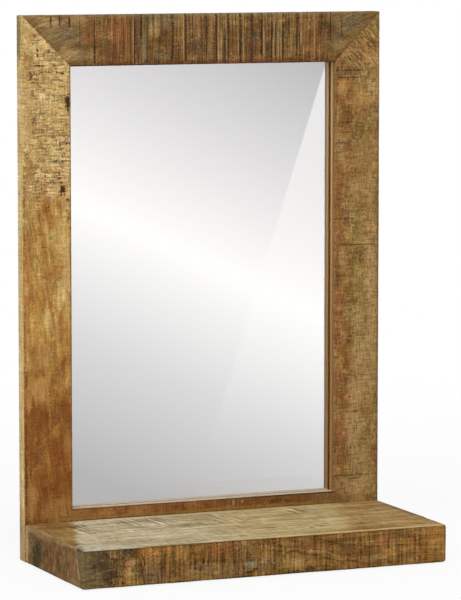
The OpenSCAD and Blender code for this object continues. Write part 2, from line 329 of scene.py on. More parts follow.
class Finish(Nodes):
    """One material. Its patterns follow the piece's own length, width and depth, in metres."""

    def __init__(self, name, axes=ALONG_X):
        self.material = bpy.data.materials.new(name)
        self.material.use_nodes = True
        super().__init__(self.material.node_tree)
        self.surface = self.tree.nodes["Principled BSDF"]
        self.place = self.node("ShaderNodeTexCoord", output="Object")
        self.follow(axes)

    def follow(self, axes):
        """Takes the piece's length, width and depth along these axes."""
        self.axes = axes
        self.along, self.across, self.deep = (
            self.node("ShaderNodeSeparateXYZ", inputs={0: self.place}, output=axis) for axis in axes
        )

    def face(self, axes):
        """The same material with its length, width and depth along other axes."""
        other = copy.copy(self)
        other.follow(axes)
        return other

    def in_order(self, along, across, deep):
        """Three numbers of the board put in the order of the axes."""
        ordered = [0, 0, 0]
        for axis, value in zip(self.axes, (along, across, deep)):
            ordered[axis] = value
        return ordered

    def cloud(self, size, seed=0.0, detail=2.0, roughness=0.5, place=None):
        """A noise from 0 to 1, with lumps of a size along the board, across it and into it."""
        spot = self.node(
            "ShaderNodeVectorMath",
            {"operation": "MULTIPLY_ADD"},
            {
                0: place or self.place,
                1: self.in_order(*(1 / s for s in size)),
                2: (seed, -seed, 2 * seed),
            },
        )
        return self.node(
            "ShaderNodeTexNoise",
            None,
            {"Vector": spot, "Scale": 1, "Detail": detail, "Roughness": roughness},
        )

    def turned(self, angle, axis=1):
        """The place turned about one axis, for a pattern that runs aslant."""
        turn = [0, 0, 0]
        turn[axis] = math.radians(angle)
        return self.node("ShaderNodeMapping", None, {0: self.place, 2: turn})

    def smooth(self, value, low, high, top=1.0):
        """0 where the value is at low or before it, the top value at high or past it."""
        return self.node(
            "ShaderNodeMapRange",
            {"interpolation_type": "SMOOTHSTEP"},
            {0: value, 1: low, 2: high, 4: top},
        )

    def ramp(self, value, *stops):
        return self.node("ShaderNodeValToRGB", {"stops": stops}, {0: value})

    def blend(self, first, second, share, label=""):
        settings = {"data_type": "RGBA", "label": label}
        return self.node("ShaderNodeMix", settings, {0: share, 6: first, 7: second}, 2)

    def patch(self, middle, half, frayed, strength=1.0):
        """A strength inside an oval on the board's face, 0 outside it. frayed wears its edge."""
        scale = self.in_order(1 / half[0], 1 / half[1], 0.001)
        offset = [-m * s for m, s in zip(self.in_order(middle[0], middle[1], 0), scale)]
        spot = self.node(
            "ShaderNodeVectorMath", {"operation": "MULTIPLY_ADD"}, {0: self.place, 1: scale, 2: offset}
        )
        distance = self.node("ShaderNodeVectorMath", {"operation": "LENGTH"}, {0: spot}, "Value")
        return self.smooth(distance + frayed, 1.35, 0.65, strength)

    def close(self, colour, roughness, height, depth):
        """Joins the levels to the surface. depth is the height's full relief in metres."""
        relief = self.node(
            "ShaderNodeBump", None, {"Strength": 1.0, "Distance": depth, "Height": height}
        )
        self.fill(self.surface, {"Base Color": colour, "Roughness": roughness, "Normal": relief})
        return self.material

    def show(self, shader):
        """Sends a shader to the material's output in place of its surface."""
        self.fill(self.tree.nodes["Material Output"], {"Surface": shader})


class SawnWood(Finish):
    """Rough-sawn wood: streaks, fibres and pores along the board, saw marks across it."""

    def __init__(self, name, axes, seed, sway=0.012, lean=0.0, saw_length=0.02, gloss=0.12):
        super().__init__(name, axes)
        self.fill(self.surface, {"Specular IOR Level": gloss})
        wander = (self.cloud((0.16, 0.05, 0.05), seed + 1, 1) - 0.5) * (2 * sway) + self.along * lean
        bend = self.node("ShaderNodeCombineXYZ", None, {axes[1]: wander})
        self.bent = self.node("ShaderNodeVectorMath", {"operation": "ADD"}, {0: self.place, 1: bend})
        self.streaks = self.cloud((0.10, 0.007, 0.007), seed, 3, 0.55, self.bent) - 0.5
        self.fibres = self.cloud((0.014, 0.0018, 0.0018), seed + 3, 2, 0.6, self.bent) - 0.5
        self.saw = self.cloud((0.0024, saw_length, 0.05), seed + 6, 2, 0.65) - 0.5
        self.blotches = self.cloud((0.036, 0.024, 0.03), seed + 8, 3, 0.6) - 0.5
        self.mottle = self.cloud((0.009, 0.007, 0.008), seed + 10, 2, 0.6) - 0.5
        self.grit = self.cloud((0.0024, 0.0024, 0.0024), seed + 11, 1, 0.6) - 0.5
        self.hues = self.cloud((0.022, 0.012, 0.02), seed + 19, 3, 0.6) - 0.5
        dots = self.cloud((0.0030, 0.0026, 0.003), seed + 13, 1) + self.mottle * 0.7
        self.dots = self.smooth(dots, 0.62, 0.72)
        creams = self.cloud((0.0026, 0.0034, 0.003), seed + 15, 1) + self.mottle * 0.5
        self.creams = self.smooth(creams, 0.60, 0.72)
        lines = self.cloud((0.0028, 0.045, 0.05), seed + 17, 1) + self.grit * 0.3 + self.mottle * 0.3
        self.lines = self.smooth(lines, 0.60, 0.68)

    def mix(self, start, **shares):
        """Adds the board's patterns to a start, each with its share."""
        total = start
        for pattern, share in shares.items():
            total = total + getattr(self, pattern) * share
        return total

    def shades(self, tone, *cards):
        """The colour by tone, from five colour cards: darkest, dark, middle, pale and palest wood."""
        return self.ramp(
            tone, *((at, tint(*card)) for at, card in zip((0.14, 0.30, 0.5, 0.70, 0.86), cards))
        )

    def turn_hue(self, colour, share):
        """Turns the colour towards olive and towards orange in patches."""
        hue = self.hues * share + 0.5
        return self.node("ShaderNodeHueSaturation", None, {"Hue": hue, "Color": colour})

    def etch(self, colour, **shares):
        """Darkens and lightens the colour by the fine patterns, down to a third of it."""
        strength = self.mix(1.0, **shares).larger(0.33)
        return self.node("ShaderNodeVectorMath", {"operation": "SCALE"}, {0: colour, "Scale": strength})

    def marks(self, colour, label, card, crumble, rows):
        """Paints ragged marks of one colour. A row is along, across, half of each (mm) and strength."""
        total = None
        frayed = (self.grit + self.mottle) * crumble
        for along, across, half_along, half_across, strength in rows:
            middle = (along / 1000, across / 1000)
            half = (half_along / 1000, half_across / 1000)
            mark = self.patch(middle, half, frayed, strength)
            total = mark if total is None else total.larger(mark)
        return self.blend(colour, tint(*card), total, label)

    def trace(self, colour, card, half_width, strength, points):
        """Paints a curved line of one colour through points along and across the board (mm)."""
        start, end = points[0][0] / 1000, points[-1][0] / 1000
        low = min(point[1] for point in points) / 1000
        high = max(point[1] for point in points) / 1000
        share = self.node("ShaderNodeMapRange", None, {0: self.along, 1: start, 2: end})
        length, height = end - start, high - low
        path = [((x / 1000 - start) / length, (y / 1000 - low) / height) for x, y in points]
        line = self.node("ShaderNodeFloatCurve", {"path": path}, {"Value": share}) * height + low
        gap = abs(self.across - line + self.grit * 0.003)
        within = self.smooth(self.along, start, start + 0.006)
        within = within * self.smooth(self.along, end, end - 0.006)
        return self.blend(colour, tint(*card), self.smooth(gap, half_width, 0) * within * strength)


def finish_piece(piece, material, node, sharp=35):
    """Smooths a piece, gives it its material and lets it stand for its CAD node."""
    bpy.ops.object.select_all(action="DESELECT")
    piece.select_set(True)
    bpy.context.view_layer.objects.active = piece
    bpy.ops.object.shade_smooth_by_angle(angle=math.radians(sharp))
    piece.data.materials.clear()
    piece.data.materials.append(material)
    piece.data.polygons.foreach_set("material_index", [0] * len(piece.data.polygons))
    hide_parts(node)
    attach(piece, "root")


left_stile = sawn_board("left_stile", 2, 0, 0.31)

gold = SawnWood("golden_board", ALONG_Z, seed=2.0, sway=0.016, lean=0.07, saw_length=0.012)
drift = gold.blotches * 0.25
upper = gold.smooth(gold.along + drift, 0.42, 0.50)
lower = gold.smooth(gold.along + drift, 0.32, 0.16)
sawn_part = upper * (0.35 + gold.smooth(gold.across, -0.242, -0.228) * 0.65)
tone = gold.mix(0.5, streaks=0.8 - upper * 0.4, mottle=0.5 + upper * 0.3, blotches=1.0)
pale, honey, amber, side = (
    gold.shades(tone, *cards)
    for cards in (
        ((146, 112, 62), (168, 134, 80), (188, 156, 100), (202, 172, 116), (216, 188, 134)),
        ((138, 90, 35), (154, 107, 48), (170, 125, 61), (184, 146, 79), (198, 164, 99)),
        ((110, 59, 18), (121, 69, 23), (133, 81, 30), (147, 98, 40), (163, 116, 54)),
        ((164, 130, 72), (184, 152, 92), (198, 168, 108), (208, 182, 128), (216, 194, 142)),
    )
)
colour = gold.blend(gold.blend(honey, pale, upper), amber, lower)
colour = gold.turn_hue(colour, 0.05)
for label, card, crumble, rows in (
    ("rosy patches", (176, 116, 70), 3.0, (
        (667, -238, 6, 6, 0.5), (487, -222, 12, 9, 0.5), (401, -243, 35, 5, 0.35),
        (660, -246.8, 44, 1.4, 0.3),
    )),
    ("pale flecks", (200, 168, 104), 2.0, (
        (414, -195, 24, 11, 0.55), (341, -200, 13, 5, 0.9), (371, -230, 1.5, 5, 0.9),
        (312, -219, 15, 4, 0.55), (349, -246, 7, 3, 0.6), (566, -206, 2, 5, 0.5),
        (546, -205, 3, 3, 0.6), (529, -202, 5, 2, 0.6), (526, -189, 6, 4, 0.6), (604, -202, 6, 11, 0.5),
    )),
    ("brown figure", (138, 90, 44), 2.5, (
        (391, -220, 7, 4, 0.7), (365, -210, 6, 11, 0.6), (351, -210, 5, 2.2, 0.8),
        (332, -212, 3, 2.5, 0.7), (319, -210, 6, 1.6, 0.7), (313, -200, 7, 2, 0.6),
        (266, -209, 5, 2.5, 0.6), (251, -199, 11, 1.6, 0.6), (178, -206, 11, 7, 0.45),
        (142, -231, 8, 6, 0.4), (162, -225, 4, 6, 0.4), (455, -220, 9, 7, 0.35),
    )),
    ("short saw lines", (112, 78, 38), 2.2, (
        (636, -230, 0.9, 10, 1.0), (636, -200, 0.7, 12, 0.5), (615, -226, 0.8, 16, 0.8),
        (598, -200, 0.9, 14, 0.6), (576, -228, 0.6, 10, 0.7), (564, -222, 0.6, 16, 0.8),
        (555, -225, 0.6, 8, 0.7), (551, -228, 0.6, 5, 0.6), (541, -225, 0.6, 6, 0.6),
        (524, -218, 0.7, 9, 0.8), (500, -207, 0.7, 20, 0.6), (494, -219, 0.7, 22, 0.6),
        (488, -208, 0.7, 24, 0.8), (474, -227, 0.8, 10, 0.7), (470, -229, 0.7, 7, 0.7),
        (422, -228, 0.8, 5, 0.9), (419, -210, 0.7, 4, 0.7), (405, -222, 0.8, 5, 0.9),
        (371, -211, 0.8, 12, 0.6), (359, -213, 0.6, 9, 0.5), (482, -233, 4.5, 0.8, 0.7),
    )),
    ("dark specks", (70, 42, 22), 2.6, (
        (655, -229, 1.8, 1.6, 0.9), (649, -229, 3.0, 1.4, 0.9), (655, -214, 2.0, 2.4, 0.7),
        (655, -205, 1.8, 2.0, 0.6), (648, -197, 1.5, 1.6, 0.7), (636, -229, 0.9, 4, 0.8),
        (624, -237, 4.5, 3.5, 0.8), (619, -234, 1.0, 6.0, 0.7), (627, -224, 1.1, 1.6, 0.8),
        (628, -214, 1.0, 1.5, 0.6), (628, -204, 1.3, 2.0, 0.8), (626, -196, 1.2, 2.6, 0.9),
        (619, -221, 1.0, 1.1, 0.8), (619, -200, 1.4, 1.1, 0.7), (589, -188, 8.5, 3.6, 1.0),
        (601, -237, 2.8, 1.8, 0.5), (570, -233, 1.4, 3.4, 0.6), (563, -209, 1.0, 2.5, 0.7),
        (565, -197, 1.1, 1.5, 0.8), (562, -191, 1.2, 1.6, 0.7), (556, -188, 1.2, 1.3, 0.7),
        (537, -199, 2.6, 1.8, 1.0), (537, -189, 2.0, 4.5, 0.8), (524, -193, 1.4, 1.9, 0.9),
        (515, -205, 1.7, 3.0, 0.8), (515, -196, 1.5, 2.2, 0.9), (506, -196, 2.0, 1.5, 0.9),
        (499, -201, 1.1, 1.6, 0.8), (493, -200, 1.3, 3.6, 0.8), (487, -198, 1.1, 1.7, 0.8),
        (476, -197, 5.0, 4.6, 1.0), (466, -190, 1.2, 2.2, 0.8), (508, -239, 2.4, 2.4, 0.7),
        (500, -237, 1.4, 1.4, 0.6), (492, -238, 1.4, 1.5, 0.7), (456, -216, 2.0, 1.5, 0.7),
        (440, -221, 1.4, 2.4, 0.7), (440, -188, 2.6, 2.6, 0.6), (429, -186, 1.8, 2.0, 0.6),
        (379, -197, 1.5, 3.8, 0.5), (576, -184, 1.6, 1.4, 0.9), (557, -184, 2.2, 1.2, 0.9),
    )),
    ("dull patches", (154, 116, 62), 2.0, (
        (640, -240, 9, 7, 0.7), (504, -240, 24, 8, 0.8), (480, -228, 16, 8, 0.5),
        (352, -210, 14, 9, 0.6), (385, -226, 16, 9, 0.4), (440, -243, 60, 5, 0.4),
    )),
    ("rubbed patches", (204, 173, 110), 2.0, (
        (614, -212, 10, 12, 0.35), (568, -208, 10, 16, 0.45), (508, -191, 16, 5, 0.6),
        (360, -191, 55, 5, 0.5), (343, -198, 15, 6.5, 0.75), (313, -216, 15, 4.5, 0.4),
        (406, -196, 22, 8, 0.4),
    )),
    ("honey patches", (188, 144, 80), 2.0, (
        (284, -242, 9, 6, 0.6), (266, -222, 18, 11, 0.5), (224, -226, 18, 12, 0.6),
        (206, -243, 12, 4, 0.6),
    )),
    ("dark figure", (114, 70, 31), 2.0, ((190, -208, 16, 7, 0.7), (138, -233, 16, 9, 0.6))),
    ("faded foot", (166, 120, 66), 2.0, (
        (88, -241, 14, 9, 0.8), (66, -244, 12, 12, 0.7), (66, -200, 16, 30, 0.75),
        (152, -191, 14, 4, 0.6),
    )),
):
    colour = gold.marks(colour, label, card, crumble, rows)
for strength, points in (
    (0.50, ((382, -225), (399, -233), (425, -239), (450, -244))),
    (0.55, ((287, -205), (302, -208), (330, -214), (360, -219))),
    (0.45, ((317, -222), (334, -226), (351, -235), (363, -246))),
    (0.35, ((239, -196), (253, -195), (281, -198), (300, -203))),
    (0.40, ((395, -211), (410, -218), (436, -226), (452, -229))),
    (0.60, ((331, -184), (341, -187), (353, -193))),
):
    colour = gold.trace(colour, (124, 80, 34), 0.0022, strength, points)
colour = gold.marks(colour, "dark arris", (90, 54, 24), 2.4, (
    (450, -247.8, 60, 1.2, 0.45), (237, -246.6, 9, 1.8, 0.7), (110, -247.6, 70, 1.5, 0.8),
    (290, -247.8, 40, 1.2, 0.45),
))
# Painted shade: a darker line along the stile's sight edge, where it meets the glass.
sight_shade = gold.smooth(gold.across, -0.1872, -0.1858)
colour = gold.blend(colour, tint(108, 88, 46), sight_shade * 0.55)
flank = gold.face((2, 1, 0))
for label, card, crumble, rows in (
    ("stain at the top", (96, 80, 36), 1.5, ((675, 108, 32, 9, 0.75), (640, 112, 10, 3, 0.6))),
    ("dull by the wall", (152, 124, 80), 1.5, ((190, 115, 230, 4, 0.7), (20, 108, 44, 16, 0.8))),
    ("warm low down", (206, 164, 102), 1.5, ((200, 96, 200, 2.5, 0.6),)),
):
    side = flank.marks(side, label, card, crumble, rows)
colour = gold.blend(colour, side, gold.smooth(gold.deep, front_y + 0.0015, front_y + 0.003))
gold.grain = gold.cloud((0.030, 0.0038, 0.004), 4, 2, 0.6, gold.bent) - 0.5
colour = gold.etch(
    colour,
    saw=0.9 + sawn_part * 1.6,
    fibres=0.9 + sawn_part * 0.5,
    grain=(1 - upper) * 0.9,
    grit=0.9 + sawn_part * 0.4,
    dots=sawn_part * -0.5,
    creams=sawn_part * 0.30,
    lines=sawn_part * -0.40,
)
relief = gold.fibres + gold.saw * (0.5 + upper) - gold.dots * 0.6
left_finish = gold.close(colour, 0.55 + gold.fibres * 0.4, relief, WOOD_RELIEF)
finish_piece(left_stile, left_finish, "left_stile")

# The right stile is a browner board of the same wood, the left one's mirror image, with cross-hatched
# saw marks and a few dark saw lines right across it.
GLASS_DEPTH = 0.014
glass_y = front_y + GLASS_DEPTH


# Painted light: this mask finds the rebate's shoulder behind the glass, which lies in deep shade.
def lip_foot_light(wood, outer, inner):
    """Where a board's lip meets the glass: its last bit of depth, on the opening's side of a line."""
    foot = wood.smooth(wood.deep, glass_y - 0.0015, glass_y - 0.0005)
    foot = foot * wood.smooth(wood.deep, glass_y + 0.0020, glass_y + 0.0005)
    return foot * wood.smooth(wood.across, outer, inner)


right_stile = sawn_board("right_stile", 2, 1, 0.57)

brown = SawnWood("brown_board", ALONG_Z, seed=11.0, sway=0.008, lean=-0.02, saw_length=0.014)
tone = brown.mix(0.5, streaks=0.5, mottle=0.9, blotches=1.3)
khaki = brown.shades(tone, (108, 80, 36), (128, 98, 48), (144, 113, 60), (156, 126, 74), (172, 142, 90))
orange = brown.shades(tone, (102, 60, 20), (122, 78, 32), (140, 94, 45), (154, 110, 58), (170, 128, 74))
inner = brown.smooth(brown.across + brown.blotches * 0.06, 0.214, 0.194)
colour = brown.blend(khaki, orange, inner * 0.8)
colour = brown.turn_hue(colour, 0.07)
for label, card, crumble, rows in (
    ("amber patches", (182, 132, 66), 2.5, (
        (602, 195, 8, 9, 0.7), (588, 225, 9, 10, 0.5), (415, 239, 5, 7, 0.7), (408, 203, 5, 4, 0.6),
        (512, 244, 16, 5, 0.5), (615, 248, 40, 2.5, 0.6),
    )),
    ("reddish patches", (142, 88, 52), 2.5, (
        (568, 224, 5, 8, 0.6), (561, 195, 6, 7, 0.7), (523, 204, 10, 8, 0.5), (523, 233, 4, 6, 0.5),
        (463, 190, 18, 5, 0.5), (422, 200, 5, 7, 0.7), (402, 192, 9, 7, 0.7), (357, 206, 4, 3.5, 0.7),
        (325, 191, 6, 6, 0.7), (294, 234, 4, 6, 0.6), (275, 190, 6, 4, 0.8), (216, 193, 7, 9, 0.8),
        (190, 210, 5, 9, 0.6), (146, 199, 20, 12, 0.5), (104, 246, 18, 3, 0.9), (621, 240, 5, 8, 0.4),
    )),
    ("olive patches", (108, 84, 44), 2.5, (
        (622, 208, 8, 26, 0.6), (543, 218, 13, 11, 0.6), (318, 208, 3, 5, 0.6), (281, 209, 2.5, 4, 0.8),
        (250, 225, 3, 8, 0.5), (384, 221, 2, 9, 0.8), (383, 209, 3, 20, 0.4), (152, 215, 6, 4, 0.5),
        (75, 193, 8, 7, 0.6), (415, 214, 8, 5, 0.4),
    )),
    ("dark patches", (98, 68, 33), 2.0, (
        (634, 196, 7, 9, 0.6), (634, 222, 6, 14, 0.3), (558, 200, 12, 14, 0.5), (524, 199, 12, 12, 0.5),
        (464, 196, 14, 8, 0.5), (436, 196, 14, 6, 0.4), (318, 208, 12, 8, 0.4),
    )),
    ("warm wash", (134, 88, 38), 2.0, ((492, 214, 66, 34, 0.35),)),
    ("pale patches", (176, 142, 92), 2.5, (
        (600, 238, 16, 7, 0.8), (597, 196, 7, 6, 0.6), (335, 238, 90, 7, 0.6), (375, 197, 14, 7, 0.5),
        (240, 228, 50, 16, 0.5), (150, 213, 70, 10, 0.6), (90, 222, 30, 12, 0.4),
        (70, 214, 14, 26, 0.6), (200, 222, 30, 12, 0.3),
    )),
    ("straw patches", (172, 140, 90), 3.0, (
        (527, 194, 20, 7, 0.5), (397, 230, 5, 8, 0.6), (468, 215, 12, 18, 0.35),
        (517, 228, 12, 12, 0.35), (296, 221, 4, 5, 0.5), (243, 230, 4, 9, 0.5), (640, 222, 10, 16, 0.5),
    )),
    ("saw lines", (72, 48, 20), 2.2, (
        (623, 205, 0.9, 18, 0.7), (614, 210, 0.9, 24, 0.8), (592, 238, 5, 1, 0.7),
        (555, 195, 0.9, 10, 0.7), (542, 200, 0.9, 14, 0.6), (528, 194, 0.9, 9, 0.7),
        (428, 200, 1.0, 15, 0.65), (393, 216, 0.9, 34, 0.55), (393, 200, 1.2, 12, 0.5),
        (353, 187, 3, 3, 0.6), (272, 208, 1.2, 2.2, 0.9), (263, 205, 3.5, 1, 0.8),
        (213, 202, 4, 1.5, 0.6), (171, 215, 0.9, 8, 0.6), (134, 226, 0.9, 8, 0.4),
        (101, 226, 0.9, 9, 0.4), (127, 190, 0.9, 6, 0.6), (86, 217, 1.1, 36, 0.65),
        (81, 214, 0.8, 12, 0.6), (610, 240, 3, 3, 0.6),
    )),
):
    colour = brown.marks(colour, label, card, crumble, rows)
# Painted shade: the outer right arris, turned away from the lamps, is darkened, less so high up.
edge = brown.smooth(brown.across, 0.2475, 0.2488, 0.9)
edge = edge.larger(brown.smooth(brown.across, 0.2440, 0.2480, 0.4))
edge = edge * (1 - brown.smooth(brown.along, 0.46, 0.54) * 0.4)
colour = brown.blend(colour, tint(84, 62, 36), edge)
lip = brown.smooth(brown.across, 0.1870, 0.1856)
rounding = brown.smooth(brown.deep, front_y + 0.0002, front_y + 0.0006) * lip
colour = brown.blend(colour, tint(142, 108, 66), rounding * 0.5)
inside = brown.smooth(brown.deep, front_y + 0.0014, front_y + 0.0030) * lip
lip_wood = brown.blend(tint(176, 138, 86), tint(212, 178, 128), brown.smooth(brown.along, 0.20, 0.60))
well_inside = brown.smooth(brown.deep, front_y + 0.004, front_y + 0.010)
lip_wood = brown.blend(tint(142, 106, 64), lip_wood, well_inside)
hatched = brown.patch((0.656, 0.224), (0.028, 0.028), brown.mottle * 2.0)
strokes = brown.cloud((0.0020, 0.016, 0.02), 31, 2, 0.6, brown.turned(-50)) - 0.5
colour = brown.blend(colour, tint(142, 102, 58), hatched * 0.55)
colour = brown.etch(colour, saw=1.5, fibres=1.6, grit=1.1, dots=-0.30, creams=0.25, lines=-0.20)
brown.carved = strokes * hatched
colour = brown.etch(colour, carved=4.4)
colour = brown.blend(colour, lip_wood, inside * 0.9)
# Painted light: the shaded shoulder behind the glass is painted a bright fresh-cut orange.
colour = brown.blend(colour, tint(176, 112, 40), lip_foot_light(brown, 0.1930, 0.1915))
relief = brown.fibres + brown.saw - brown.dots * 0.6 + brown.carved
right_finish = brown.close(colour, 0.55 + brown.fibres * 0.4, relief, WOOD_RELIEF)
finish_piece(right_stile, right_finish, "right_stile")

# The top rail is a grey-brown board, crossed by many dark saw lines, with a reddish band near its
# left end.
top_rail = sawn_board("top_rail", 0, 1, 0.83)

grey = SawnWood("grey_brown_board", ALONG_X, seed=23.0, sway=0.006, saw_length=0.06)
middle_part = grey.smooth(abs(grey.along - 0.015), 0.20, 0.13)
tone = grey.mix(0.5, streaks=0.4, mottle=0.8, blotches=1.1, saw=middle_part * 0.7)
colour = grey.shades(tone, (78, 50, 16), (99, 68, 30), (117, 85, 43), (132, 100, 55), (151, 120, 72))
colour = grey.turn_hue(colour, 0.06)
# The long rows at 634 to 639 mm across are painted shade along the edge above the glass.
for label, card, crumble, rows in (
    ("red bands", (132, 80, 39), 2.0, (
        (-155, 672, 12, 10, 0.6), (-116, 668, 17, 40, 0.75), (153, 660, 12, 24, 0.5),
        (75, 637, 80, 5, 0.6), (-60, 636, 70, 4, 0.3),
    )),
    ("ashen patches", (128, 114, 80), 2.0, (
        (-84, 655, 5, 22, 0.6), (-60, 690, 26, 8, 0.5), (-196, 676, 24, 16, 0.5),
        (-176, 648, 14, 7, 0.5), (205, 684, 24, 12, 0.5), (0, 699, 250, 3, 0.6), (-60, 645, 12, 5, 0.4),
    )),
    ("tan patches", (172, 138, 90), 2.0, (
        (-214, 691, 18, 6, 0.8), (-176, 693, 14, 5, 0.6), (-190, 650, 15, 9, 0.6),
        (-156, 648, 8, 8, 0.4), (-70, 680, 8, 9, 0.5), (192, 658, 10, 8, 0.4),
    )),
    ("umber patches", (95, 58, 26), 2.0, (
        (20, 655, 66, 16, 0.5), (60, 676, 60, 9, 0.4), (-121, 652, 13, 16, 0.6), (135, 640, 24, 5, 0.5),
        (-60, 639, 110, 4, 0.5), (80, 639, 70, 4, 0.5),
    )),
    ("brown bands", (104, 68, 46), 1.6, (
        (-135, 665, 2.4, 40, 0.8), (-92, 665, 4, 40, 0.6), (-8, 668, 9, 34, 0.5), (66, 665, 4, 40, 0.6),
        (175, 652, 5, 5, 0.6),
    )),
    ("knot flecks", (84, 72, 44), 2.4, (
        (-13, 656, 5, 4, 1.0), (-4, 659, 4, 3, 0.7), (66, 672, 4, 6, 1.0), (74, 672, 5, 3, 0.8),
        (106, 670, 4, 5, 0.8), (129, 667, 3, 5, 0.7), (190, 664, 13, 6, 0.5), (218, 688, 10, 6, 0.4),
    )),
    ("pale saw lines", (172, 144, 100), 3.2, (
        (-99, 668, 1.0, 36, 0.6), (-151, 676, 0.9, 8, 0.6), (-29, 668, 0.9, 34, 0.5),
        (7, 662, 3.0, 28, 0.3), (19, 665, 1.1, 32, 0.6), (23, 662, 1.1, 30, 0.6),
        (30, 668, 0.9, 28, 0.6), (47, 660, 1.1, 28, 0.5), (54, 668, 1.0, 34, 0.5),
        (83, 668, 1.2, 34, 0.6), (97, 668, 1.1, 36, 0.6), (103, 662, 1.2, 28, 0.6),
        (108, 665, 0.9, 28, 0.5), (136, 668, 1.0, 8, 0.7), (155, 655, 0.9, 24, 0.5),
        (-120, 662, 0.9, 30, 0.3), (-108, 662, 0.9, 30, 0.3),
    )),
    ("dark saw lines", (62, 40, 18), 1.8, (
        (-211, 693, 1.2, 8, 0.9), (-199, 693, 1.2, 8, 0.9), (-186, 690, 1.4, 11, 0.9),
        (-172, 680, 1.0, 20, 0.5), (-152, 665, 1.1, 40, 0.7), (-152, 652, 1.4, 18, 0.9),
        (-126, 672, 0.9, 34, 0.4), (-112, 668, 0.8, 34, 0.4), (-103, 668, 0.9, 34, 0.5),
        (-97, 665, 1.4, 40, 0.9), (-88, 682, 1.3, 20, 0.9), (-80, 668, 1.1, 40, 0.8),
        (-71, 684, 1.6, 20, 0.6), (-58, 672, 0.9, 26, 0.4), (-45, 665, 1.4, 40, 0.8),
        (-45, 650, 1.8, 14, 0.9), (-27, 665, 1.4, 40, 0.9), (-17, 668, 0.9, 34, 0.4),
        (2, 668, 1.3, 38, 0.8), (16, 666, 1.6, 40, 0.9), (28, 658, 1.6, 20, 0.8),
        (33, 668, 1.3, 40, 0.8), (50, 666, 1.7, 40, 0.9), (66, 666, 2.2, 40, 0.6),
        (80, 668, 1.5, 38, 0.9), (90, 668, 0.8, 34, 0.5), (94, 668, 1.4, 36, 0.8),
        (100, 664, 1.0, 28, 0.6), (110, 666, 1.5, 40, 0.9), (119, 668, 0.8, 34, 0.4),
        (130, 670, 1.4, 32, 0.9), (148, 665, 1.0, 32, 0.6), (158, 665, 0.9, 32, 0.4),
        (165, 689, 1.3, 18, 0.8), (178, 686, 1.2, 20, 0.9), (194, 682, 1.1, 13, 0.7),
        (-130, 634, 100, 1.6, 0.8), (40, 634, 140, 1.4, 0.6),
    )),
    ("dark lower edge", (84, 46, 20), 1.6, ((40, 637, 180, 2.6, 0.5),)),
):
    colour = grey.marks(colour, label, card, crumble, rows)
# Painted shade: a dark line along the rail's lower edge above the glass, stronger to the left.
sight_shade = grey.smooth(grey.across, 0.6366, 0.6352)
sight_shade = sight_shade * (0.4 + grey.smooth(grey.along, 0.0, -0.08) * 0.45)
colour = grey.blend(colour, tint(56, 36, 18), sight_shade)
scratches = grey.cloud((0.014, 0.0020, 0.002), 41, 1, 0.5, grey.turned(20)) - 0.5
grey.scratches = scratches * (1 - middle_part)
sawn = 0.3 + middle_part * 2.0
colour = grey.etch(colour, saw=sawn, fibres=0.8, grit=1.3, dots=-0.25, creams=0.15, scratches=1.5)
relief = grey.fibres * 0.7 + grey.saw * 1.2
top_finish = grey.close(colour, 0.6 + grey.fibres * 0.4, relief, WOOD_RELIEF)
finish_piece(top_rail, top_finish, "top_rail")

# The bottom rail is a reddish board that shows only as a strip between the glass and the shelf. The
# shelf's long screws go in from its back, where their sunk heads show.
bottom_rail = sawn_board("bottom_rail", 0, 0, 0.11)

red = SawnWood("red_board", ALONG_X, seed=37.0, sway=0.006, saw_length=0.03)
tone = red.mix(0.5, streaks=0.7, saw=0.5, mottle=0.7, blotches=1.1)
colour = red.shades(tone, (114, 66, 26), (130, 81, 37), (144, 96, 48), (156, 110, 58), (170, 126, 72))
colour = red.turn_hue(colour, 0.025)
for label, card, crumble, rows in (
    ("dark stains", (94, 58, 28), 2.0, (
        (-110, 60, 2.5, 5, 0.8), (-56, 60, 3, 5, 0.6), (-31, 60, 2, 6, 0.6), (8, 62, 2, 5, 0.4),
        (100, 58, 9, 4, 0.8), (118, 58, 5, 3, 0.8), (150, 60, 8, 6, 0.5),
    )),
    ("tan patches", (160, 114, 66), 2.0, ((-92, 60, 16, 7, 0.7), (-62, 60, 10, 6, 0.4))),
    ("brown patches", (98, 61, 27), 2.0, (
        (56, 60, 44, 7, 0.5), (128, 60, 34, 8, 0.6), (28, 60, 16, 6, 0.4),
    )),
    ("dull left end", (146, 106, 58), 2.0, ((-196, 60, 30, 12, 0.9),)),
    ("dull right end", (126, 92, 52), 2.0, ((190, 60, 36, 12, 0.9),)),
    ("pale flecks", (206, 164, 112), 2.0, ((53, 61, 1.5, 3, 0.7), (40, 60, 1.2, 4, 0.5))),
    # Painted shade: an olive band and a dark line where the rail meets the shelf.
    ("olive by the shelf", (146, 112, 54), 1.5, ((0, 52, 250, 2.2, 0.7),)),
    ("dark by the shelf", (88, 66, 30), 1.5, ((-120, 50.2, 90, 0.9, 0.8), (60, 50.2, 120, 0.8, 0.5))),
):
    colour = red.marks(colour, label, card, crumble, rows)
colour = red.etch(colour, saw=0.7, fibres=0.6, grit=0.6, dots=-0.25, creams=0.1)
# Painted shade: a dark line along the rail's upper edge under the glass, stronger to the right.
sight_shade = red.smooth(red.across, 0.0632, 0.0646)
sight_shade = sight_shade * (0.6 + red.smooth(red.along, 0.0, 0.12) * 0.35)
colour = red.blend(colour, tint(76, 48, 24), sight_shade)
lip = red.smooth(red.deep, front_y + 0.0014, front_y + 0.0024) * red.smooth(red.across, 0.0645, 0.0653)
colour = red.blend(colour, tint(212, 192, 166), lip * 0.9)
# Painted light: the shaded shoulder behind the glass is painted near white in place of light.
colour = red.blend(colour, tint(250, 242, 228), lip_foot_light(red, 0.0570, 0.0585))
bottom_finish = red.close(colour, 0.55 + red.fibres * 0.4, red.fibres + red.saw, WOOD_RELIEF)
finish_piece(bottom_rail, bottom_finish, "bottom_rail")

